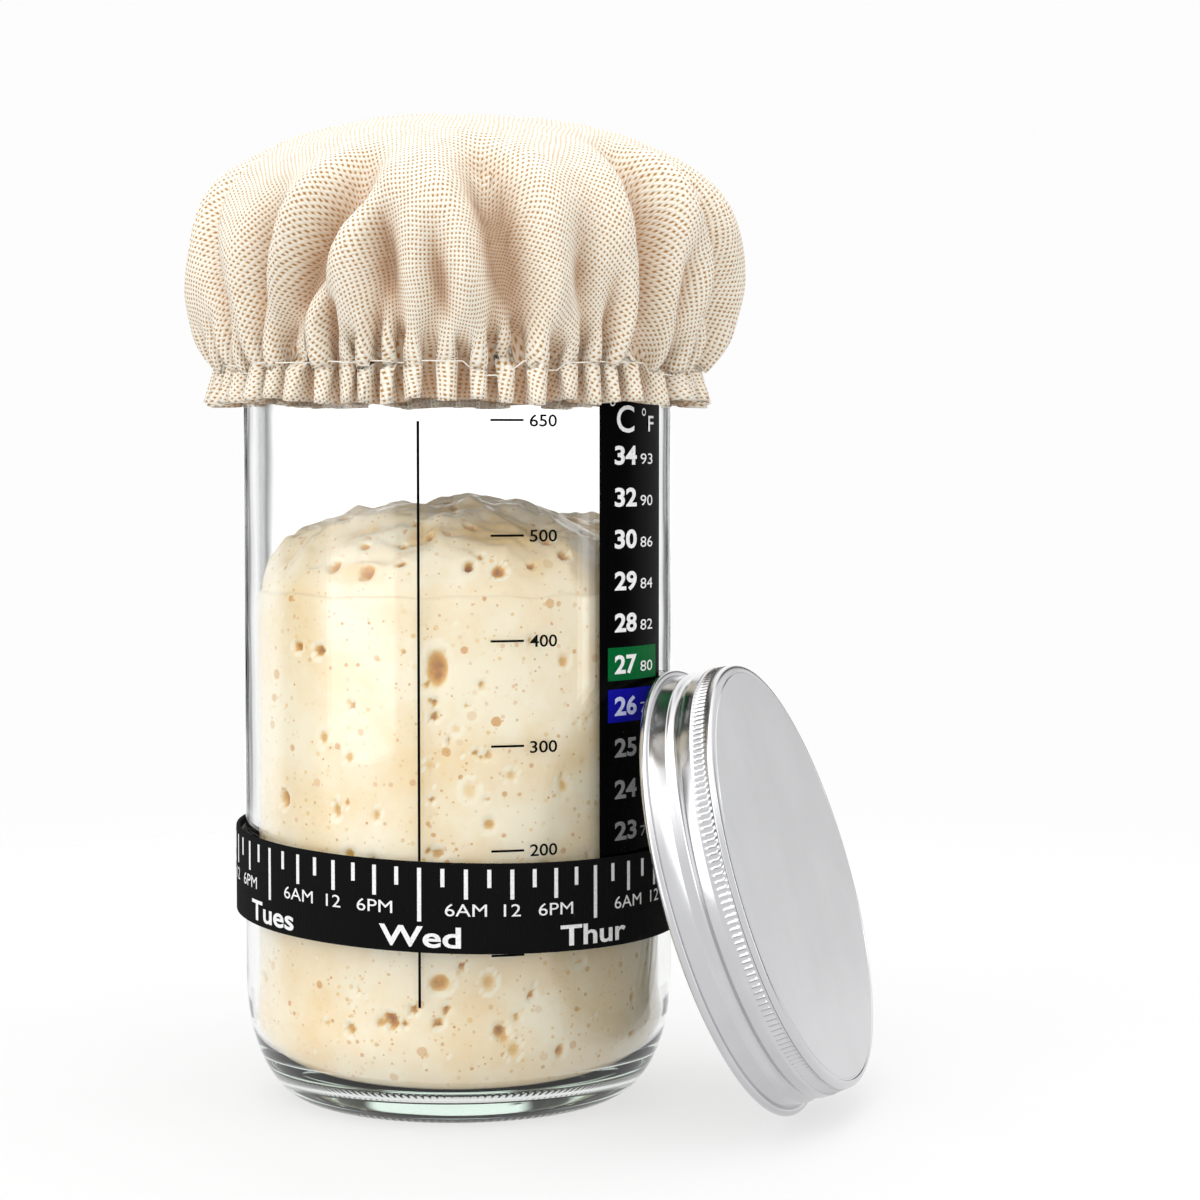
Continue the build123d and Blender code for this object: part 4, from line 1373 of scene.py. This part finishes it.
def cloth_disc(settings, line):
    """The flat disc as rings of cloth round a middle, with twice the columns where the rings grow wide."""
    bm = bmesh.new()
    spacing = line / round(line / settings.mesh_step)
    columns = settings.columns // 8
    bmesh.ops.create_circle(bm, cap_ends=True, cap_tris=True, radius=spacing, segments=columns)
    ring = [edge for edge in bm.edges if edge.is_boundary]
    distance = spacing
    while distance < line + settings.ruffle - spacing / 2:
        if columns < settings.columns and distance * ROUND / columns > 1.35 * settings.mesh_step:
            ring = open_edges(bmesh.ops.subdivide_edges(bm, edges=ring, cuts=1)["geom"], distance)
            columns *= 2
        distance += spacing
        ring = open_edges(bmesh.ops.extrude_edge_only(bm, edges=ring)["geom"], distance)
    bmesh.ops.triangulate(bm, faces=[face for face in bm.faces if len(face.verts) > 4])
    uv = bm.loops.layers.uv.new("cloth")
    for face in bm.faces:
        for loop in face.loops:
            place = loop.vert.co
            loop[uv].uv = (place.x / settings.disc_size + 0.5, place.y / settings.disc_size + 0.5)
    bmesh.ops.recalc_face_normals(bm, faces=bm.faces)
    if sum(face.normal.z for face in bm.faces) < 0:
        bmesh.ops.reverse_faces(bm, faces=bm.faces)
    return bm


CLOTH_FEEL = {
    "quality": 7,
    "time_scale": 1.0,
    "mass": 0.02,
    "tension_stiffness": 12.0,
    "compression_stiffness": 12.0,
    "shear_stiffness": 3.0,
    "tension_damping": 4.0,
    "compression_damping": 4.0,
    "shear_damping": 4.0,
    "bending_damping": 0.5,
    "air_damping": 2.0,
    "pin_stiffness": 1.0,
}

# How firmly the cloth of the ruffle is held to its first shape
RUFFLE_HOLD = 0.12
# Radius of the middle that stays still, and of the cloth inside which no folds are noted
STILL_MIDDLE = 9 * MM
PLAIN_MIDDLE = 30 * MM
# Extra room of the cloth beside the elastic
ELASTIC_ROOM = 0.9 * MM


def settle_cloth(piece, flat, held, settings):
    """Lets the gathered cloth buckle and puff, held at its elastic and its middle, and keeps the result."""
    group = piece.vertex_groups.new(name="held")
    for index, weight in held.items():
        group.add([index], weight, "REPLACE")
    piece.shape_key_add(name="gathered")
    rest = piece.shape_key_add(name="flat")
    for point, place in zip(rest.data, flat):
        point.co = place
    modifier = piece.modifiers.new("settling", "CLOTH")
    cloth = modifier.settings
    for name, value in CLOTH_FEEL.items():
        setattr(cloth, name, value)
    cloth.bending_stiffness = settings.stiffness
    cloth.rest_shape_key = rest
    cloth.vertex_group_mass = "held"
    cloth.use_pressure = True
    cloth.uniform_pressure_force = settings.puff
    cloth.effector_weights.gravity = 0.0
    modifier.collision_settings.use_collision = False
    modifier.collision_settings.use_self_collision = False
    modifier.point_cache.frame_start = 1
    modifier.point_cache.frame_end = settings.frames
    scene = bpy.context.scene
    for number in range(1, settings.frames + 1):
        scene.frame_set(number)
    settled = piece.evaluated_get(bpy.context.evaluated_depsgraph_get())
    places = [vert.co.copy() for vert in settled.data.vertices]
    piece.modifiers.remove(modifier)
    piece.shape_key_clear()
    piece.vertex_groups.clear()
    for vert, place in zip(piece.data.vertices, places):
        vert.co = place
    scene.frame_set(1)


def keep_clear(piece, settings):
    """Keeps the settled cloth outside the elastic, the neck and the glass."""
    for vert in piece.data.vertices:
        radius = radius_of(vert.co)
        inner = settings.clear_radius + (ELASTIC_ROOM if vert.co.z < settings.gather_level + 4 * MM else 0)
        if vert.co.z < JAR_HEIGHT + 1 * MM and radius < inner:
            widen(vert.co, inner / radius)


# (degrees to each side, depth that counts as full) of the neighbours against which the painted shade in the
# folds is measured
FOLD_SHADE_WINDOWS = [(14, 5.5 * MM), (4, 2.2 * MM)]


def note_fold_shade(piece, rings):
    """Notes in an attribute how far each point of the cloth lies inside its neighbours on the same ring;
    the cloth's material paints shade from it.
    """
    layer = piece.data.attributes.new("painted_fold_shade", "FLOAT", "POINT")
    for ring in rings:
        reach = [radius_of(piece.data.vertices[index].co) for index in ring]
        count = len(ring)
        for window, full in FOLD_SHADE_WINDOWS:
            span = max(1, round(count * window / 360))
            total = sum(reach[step] for step in range(-span, span + 1))
            for place, index in enumerate(ring):
                inside = (total / (2 * span + 1) - reach[place]) / full
                layer.data[index].value = max(layer.data[index].value, min(1.0, inside))
                total += reach[(place + span + 1) % count] - reach[(place - span) % count]


class STARTERJAR_OT_cover(bpy.types.Operator):
    """Makes the gathered cloth cover, its elastic and its stitches"""

    bl_idname = "starter_jar.cover"
    bl_label = "Cloth Cover"

    def execute(self, context):
        settings = context.scene.starter_jar.cover
        step = settings.mesh_step
        profile = cover_profile(settings)
        line = profile[-1][0]
        hollows = all_hollows()
        bm = cloth_disc(settings, line)
        bm.verts.ensure_lookup_table()
        flat = [vert.co.copy() for vert in bm.verts]
        held = {}
        rings = {}
        gathered = []
        for vert in bm.verts:
            along = vert.co.length
            azimuth = azimuth_of(vert.co)
            if along > PLAIN_MIDDLE:
                rings.setdefault(round(along / (0.5 * step)), []).append((azimuth, vert.index))
            if along <= line:
                vert.co = puffed_place(settings, profile, hollows, along, azimuth)
            else:
                vert.co = ruffle_place(settings, profile, along, azimuth)
            if abs(along - line) < 0.3 * step:
                held[vert.index] = 1.0
                gathered.append(vert.index)
            elif along > line:
                held[vert.index] = RUFFLE_HOLD
            elif along < STILL_MIDDLE:
                held[vert.index] = 1.0
            else:
                held[vert.index] = settings.memory
        cotton = cotton_material(settings)
        cloth = finish_piece(bm, "cover_fabric", cotton, "cloth_cover", ["cover_cloth"])
        settle_cloth(cloth, flat, held, settings)
        keep_clear(cloth, settings)
        note_fold_shade(cloth, [[index for _, index in sorted(ring)] for ring in rings.values()])
        crests = stitch_route(cloth, gathered, settings)
        wall = cloth.modifiers.new("cloth_thickness", "SOLIDIFY")
        wall.thickness = settings.thickness
        wall.offset = -1.0
        dress_node("cover_elastic", fibre_material("white_elastic", linear(236, 231, 220), 1500.0))
        return {"FINISHED"}


def stitch_route(cloth, gathered, settings):
    """A sewing thread round the elastic's line, over the crests of the pleats and across their hollows."""
    close = 0.1 * MM
    places = sorted((cloth.data.vertices[index].co.copy() for index in gathered), key=azimuth_of)
    reach = [radius_of(place) for place in places]
    route = []
    for index, place in enumerate(places):
        near = [reach[(index + step) % len(reach)] for step in range(-3, 4)]
        if reach[index] >= max(near):
            route.append(place)
    curve = bpy.data.curves.new("cover_thread", "CURVE")
    curve.dimensions = "3D"
    curve.bevel_depth = settings.thread_radius
    curve.bevel_resolution = 1
    spline = curve.splines.new("POLY")
    spline.points.add(3 * len(route) - 1)
    spline.use_cyclic_u = True
    for index, place in enumerate(route):
        azimuth = azimuth_of(place)
        gap = (azimuth_of(route[(index + 1) % len(route)]) - azimuth) % ROUND
        radius = radius_of(place) + settings.thread_radius
        dip = 0.35 * MM if index % 3 else 0.8 * MM
        height = place.z + 0.25 * MM * noise.noise(place * 300)
        for step, (share, inset) in enumerate(((-0.1, close), (0.1, close), (0.5, dip))):
            spot = round_point(azimuth + gap * share, radius - inset, height)
            spline.points[3 * index + step].co = (*spot, 1)
    thread = fibre_material("sewing_thread", linear(252, 247, 236), 2200.0)
    mesh = curve_mesh(curve)
    return finish_piece(mesh, "cover_thread", thread, "cloth_cover", ["cover_stitches"])


# The screw lid


def lid_matrix(settings):
    """Takes the lid from standing on its rim at the origin to its lean on the jar."""
    ring = settings.radius + settings.curl_overhang - settings.curl_radius
    out = BODY_RADIUS + settings.clearance + settings.curl_radius + ring * math.sin(settings.lean)
    up = ring * math.cos(settings.lean) + settings.curl_radius
    across = math.cos(settings.lean)
    normal = Vector(
        (across * math.sin(settings.azimuth), -across * math.cos(settings.azimuth), math.sin(settings.lean))
    )
    origin = round_point(settings.azimuth, out, up) - normal * settings.curl_radius
    side = Vector((math.cos(settings.azimuth), math.sin(settings.azimuth), 0))
    turn = Matrix((side, normal.cross(side), normal)).transposed().to_4x4()
    return Matrix.Translation(origin) @ turn


def groove_points(settings, radius, out):
    """The rounded groove round the lid's side, from its upper edge down, or back up where out is -1."""
    half_steps = 5
    half = settings.groove_width / 2 + 0.25 * MM
    points = []
    for step in range(2 * half_steps + 1):
        turn = math.pi * (step / half_steps - 1) * out
        inset = settings.groove_depth * (0.5 + 0.5 * math.cos(turn)) ** 0.8
        points.append((radius - inset, settings.groove_lift + half * (1 - step / half_steps) * out))
    return points


def lid_section(settings):
    """The lid's sheet as one run: over its face, down its side, round its rolled rim and back up inside."""
    step = 0.15 * MM
    side = settings.radius
    top = settings.height
    edge = settings.edge_round
    curl = settings.curl_radius
    crown = side - settings.taper
    face_edge = crown - edge
    inner = side - settings.sheet
    ceiling = top - settings.sheet
    ring = side + settings.curl_overhang - curl
    low, high = settings.slot_low, settings.slot_high
    section = [(0, top)] + rows((0, top), (face_edge - 5 * step, top), 5 * MM)
    section += [(face_edge - 5 * step, top), (face_edge - 4 * step, top - step)]
    section += [(face_edge - 2 * step, top - step), (face_edge - step, top)]
    section += arc((face_edge, top - edge), (edge, edge), 90, 0, 7)
    section += [(crown, high + step), (crown - step, high + step / 2), (crown, high)]
    section += rows((crown, high), (side - step, low), 0.32 * MM)
    section += [(side - step, low), (side, low - step)]
    section += groove_points(settings, side, 1)
    skirt = settings.groove_lift - settings.groove_width / 2 - 0.4 * MM
    section += [(side + 0.3 * step, skirt), (side + step, skirt - step / 2)]
    section += [(side + step, 2.9 * MM), (side + 2.5 * step, 2.1 * MM)]
    section += arc((ring, curl), (curl, curl), 128, -175, 18)
    section += [(inner - 0.5 * step, 2.0 * MM)] + groove_points(settings, inner, -1)
    section += [(crown - settings.sheet, top - edge)]
    section += arc((face_edge - step, ceiling - 3 * step), (3 * step, 3 * step), 0, 90, 3)
    return section + [(face_edge - 12 * MM, ceiling), (0, ceiling)]


def press_slots(bm, settings):
    """Presses the round-ended slots of the knurl into the outside of the lid."""
    middle = (settings.slot_low + settings.slot_high) / 2
    half = (settings.slot_high - settings.slot_low) / 2
    for vert in bm.verts:
        radius = radius_of(vert.co)
        along = abs(vert.co.z - middle) / half
        if radius < settings.radius - settings.taper - 0.1 * MM or along > 1:
            continue
        turn = math.atan2(vert.co.y, vert.co.x) * settings.slots
        across = 0.5 - 0.5 * math.cos(turn)
        deep = settings.slot_depth * smooth_step(across * 1.3) * smooth_step((0.92 - along) / 0.3)
        widen(vert.co, (radius - deep) / radius)


class STARTERJAR_OT_lid(bpy.types.Operator):
    """Makes the leaning screw lid with its knurl, groove, rolled rim and liner"""

    bl_idname = "starter_jar.lid"
    bl_label = "Screw Lid"

    def execute(self, context):
        settings = context.scene.starter_jar.lid
        bm = spin_section(lid_section(settings), 4 * settings.slots)
        press_slots(bm, settings)
        face_radius = settings.radius - settings.taper - settings.edge_round
        for face in bm.faces:
            middle = face.calc_center_median()
            if middle.z > settings.height - 0.2 * MM and radius_of(middle) < face_radius - 0.1 * MM:
                face.material_index = 1
        bm.transform(lid_matrix(settings))
        metal = metal_material("satin_aluminium", settings.metal, 0.2)
        lid = finish_piece(bm, "lid_shell", metal, "lid", ["screw_lid"], 40)
        lid.data.materials.append(metal_material("lid_face_lacquer", settings.face, 0.42))
        dress_node("lid_liner", rubber_material("liner_foam", linear(240, 240, 236), 0.7))
        return {"FINISHED"}


# The stage


# (name, azimuth in degrees, distance, height, width, height of its face) of the upright soft lights
SIDE_LIGHTS = [
    ("left_box", -50, 1.0, 0.62, 0.7, 1.3),
    ("right_box", 74, 0.95, 0.55, 0.14, 1.2),
]
TOP_LIGHT_PLACE = (0.0, -0.15, 1.1)
TOP_LIGHT_TARGET = (0.01, 0.0, 0.09)
TOP_LIGHT_SIDE = 0.9
SEEN_WHITE = (0.98, 0.98, 0.98)


def area_light(name, place, target, width, height, power):
    """A soft light that faces a target; its power is shared over its whole area."""
    light = bpy.data.lights.new(name, "AREA")
    light.shape = "RECTANGLE"
    light.size = width
    light.size_y = height
    light.energy = power
    lamp = bpy.data.objects.new(name, light)
    lamp.location = place
    lamp.rotation_mode = "QUATERNION"
    lamp.rotation_quaternion = (Vector(target) - Vector(place)).to_track_quat("-Z", "Y")
    bpy.context.scene.collection.objects.link(lamp)


def floor_material(settings):
    """Pale matt paint that fades out into the white room at the floor's edge."""
    paint = Finish("floor_paint")
    place = paint.object_place()
    grain = paint.noise(place, 30.0)
    paint.colour_from(paint.ramp(grain, [(0.3, shaded(settings.floor, 0.985)), (0.7, settings.floor)]))
    paint.set(Roughness=0.85, Specular_IOR_Level=0.15)
    paint.set(Emission_Color=(1, 1, 1, 1), Emission_Strength=settings.floor_glow)
    distance = paint.node("VectorMath", {0: place}, operation="LENGTH").outputs["Value"]
    start, stop = settings.floor_radius * 0.4, settings.floor_radius * 0.97
    fade = paint.spread(distance, start, stop, smooth=True)
    clear = paint.node("BsdfTransparent")
    paint.mix_shaders(fade, paint.shader.outputs[0], clear.outputs[0])
    return paint.material


def room_world(settings):
    """Even light from the front, back and top of the room, with a dark board on each side of the background
    that draws the edges of the glass; the room itself is seen as plain white."""
    world = bpy.data.worlds.new("room")
    world.use_nodes = True
    paint = Paint(world.node_tree)
    axes = paint.axes(paint.node("TexCoord").outputs["Generated"])
    azimuth = paint.math("ARCTAN2", axes["X"], paint.math("MULTIPLY", axes["Y"], -1.0))
    round_share = paint.math("DIVIDE", paint.math("ABSOLUTE", azimuth), math.pi)
    stops = [
        (0.4, settings.front),
        (0.46, settings.sides),
        (0.57, settings.sides),
        (0.63, settings.rear),
        (0.832, settings.rear),
        (0.853, settings.boards),
        (0.904, settings.boards),
        (0.92, settings.back),
    ]
    level = paint.ramp(round_share, [(place, (strength,) * 3) for place, strength in stops])
    climb = paint.spread(axes["Z"], 0.55, 0.85, smooth=True)
    light = paint.mix(climb, level, (settings.overhead,) * 3)
    camera_ray = paint.node("LightPath").outputs["Is Camera Ray"]
    paint.links.new(paint.mix(camera_ray, light, SEEN_WHITE), paint.nodes["Background"].inputs["Color"])
    return world


class STARTERJAR_OT_stage(bpy.types.Operator):
    """Sets the floor, the room light, the lights and the camera"""

    bl_idname = "starter_jar.stage"
    bl_label = "Stage"

    def execute(self, context):
        settings = context.scene.starter_jar.stage
        scene = context.scene
        scene.view_settings.view_transform = "Standard"
        bm = bmesh.new()
        bmesh.ops.create_circle(bm, cap_ends=True, cap_tris=True, radius=settings.floor_radius, segments=96)
        bmesh.ops.translate(bm, verts=bm.verts, vec=(0, 0, CAD_BOX[0][2]))
        floor = bpy.data.objects.new("floor", mesh_of(bm, "floor"))
        scene.collection.objects.link(floor)
        floor.data.materials.append(floor_material(settings))
        scene.world = room_world(settings)
        powers = (settings.left_box, settings.right_box)
        for (name, degrees, distance, level, width, height), power in zip(SIDE_LIGHTS, powers):
            place = round_point(math.radians(degrees), distance, level)
            area_light(name, place, (0, 0, place.z), width, height, power)
        side = TOP_LIGHT_SIDE
        area_light("top_box", TOP_LIGHT_PLACE, TOP_LIGHT_TARGET, side, side, settings.top_box)
        camera_data = bpy.data.cameras.new("portrait_camera")
        camera_data.sensor_width = 36.0
        camera_data.lens = settings.lens
        camera_data.clip_start = 0.01
        camera_data.clip_end = 50.0
        camera = bpy.data.objects.new("portrait_camera", camera_data)
        camera.location = settings.camera_place
        camera.rotation_euler = (math.radians(90) - settings.pitch, 0, 0)
        scene.collection.objects.link(camera)
        scene.camera = camera
        return {"FINISHED"}


class STARTERJAR_PT_panel(bpy.types.Panel):
    """Lists the makers of the jar's pieces in the sidebar."""

    bl_idname = "STARTERJAR_PT_panel"
    bl_label = "Starter Jar"
    bl_space_type = "VIEW_3D"
    bl_region_type = "UI"
    bl_category = "Starter Jar"

    def draw(self, context):
        for maker in MAKERS:
            self.layout.operator(maker.bl_idname)


MAKERS = [
    STARTERJAR_OT_stage,
    STARTERJAR_OT_glass,
    STARTERJAR_OT_starter,
    STARTERJAR_OT_scale,
    STARTERJAR_OT_thermometer,
    STARTERJAR_OT_band,
    STARTERJAR_OT_cover,
    STARTERJAR_OT_lid,
]

CLASSES = [
    GlassSettings,
    StarterSettings,
    CoverSettings,
    BandSettings,
    ScaleSettings,
    LidSettings,
    StageSettings,
    StarterJarSettings,
    *MAKERS,
    STARTERJAR_PT_panel,
]


def register():
    for each in CLASSES:
        bpy.utils.register_class(each)
    bpy.types.Scene.starter_jar = bpy.props.PointerProperty(type=StarterJarSettings)


def unregister():
    del bpy.types.Scene.starter_jar
    for each in reversed(CLASSES):
        bpy.utils.unregister_class(each)


def main():
    register()
    bpy.ops.starter_jar.stage()
    bpy.ops.starter_jar.glass()
    bpy.ops.starter_jar.starter()
    bpy.ops.starter_jar.scale()
    bpy.ops.starter_jar.thermometer()
    bpy.ops.starter_jar.band()
    bpy.ops.starter_jar.cover()
    bpy.ops.starter_jar.lid()


if __name__ == "__main__":
    main()
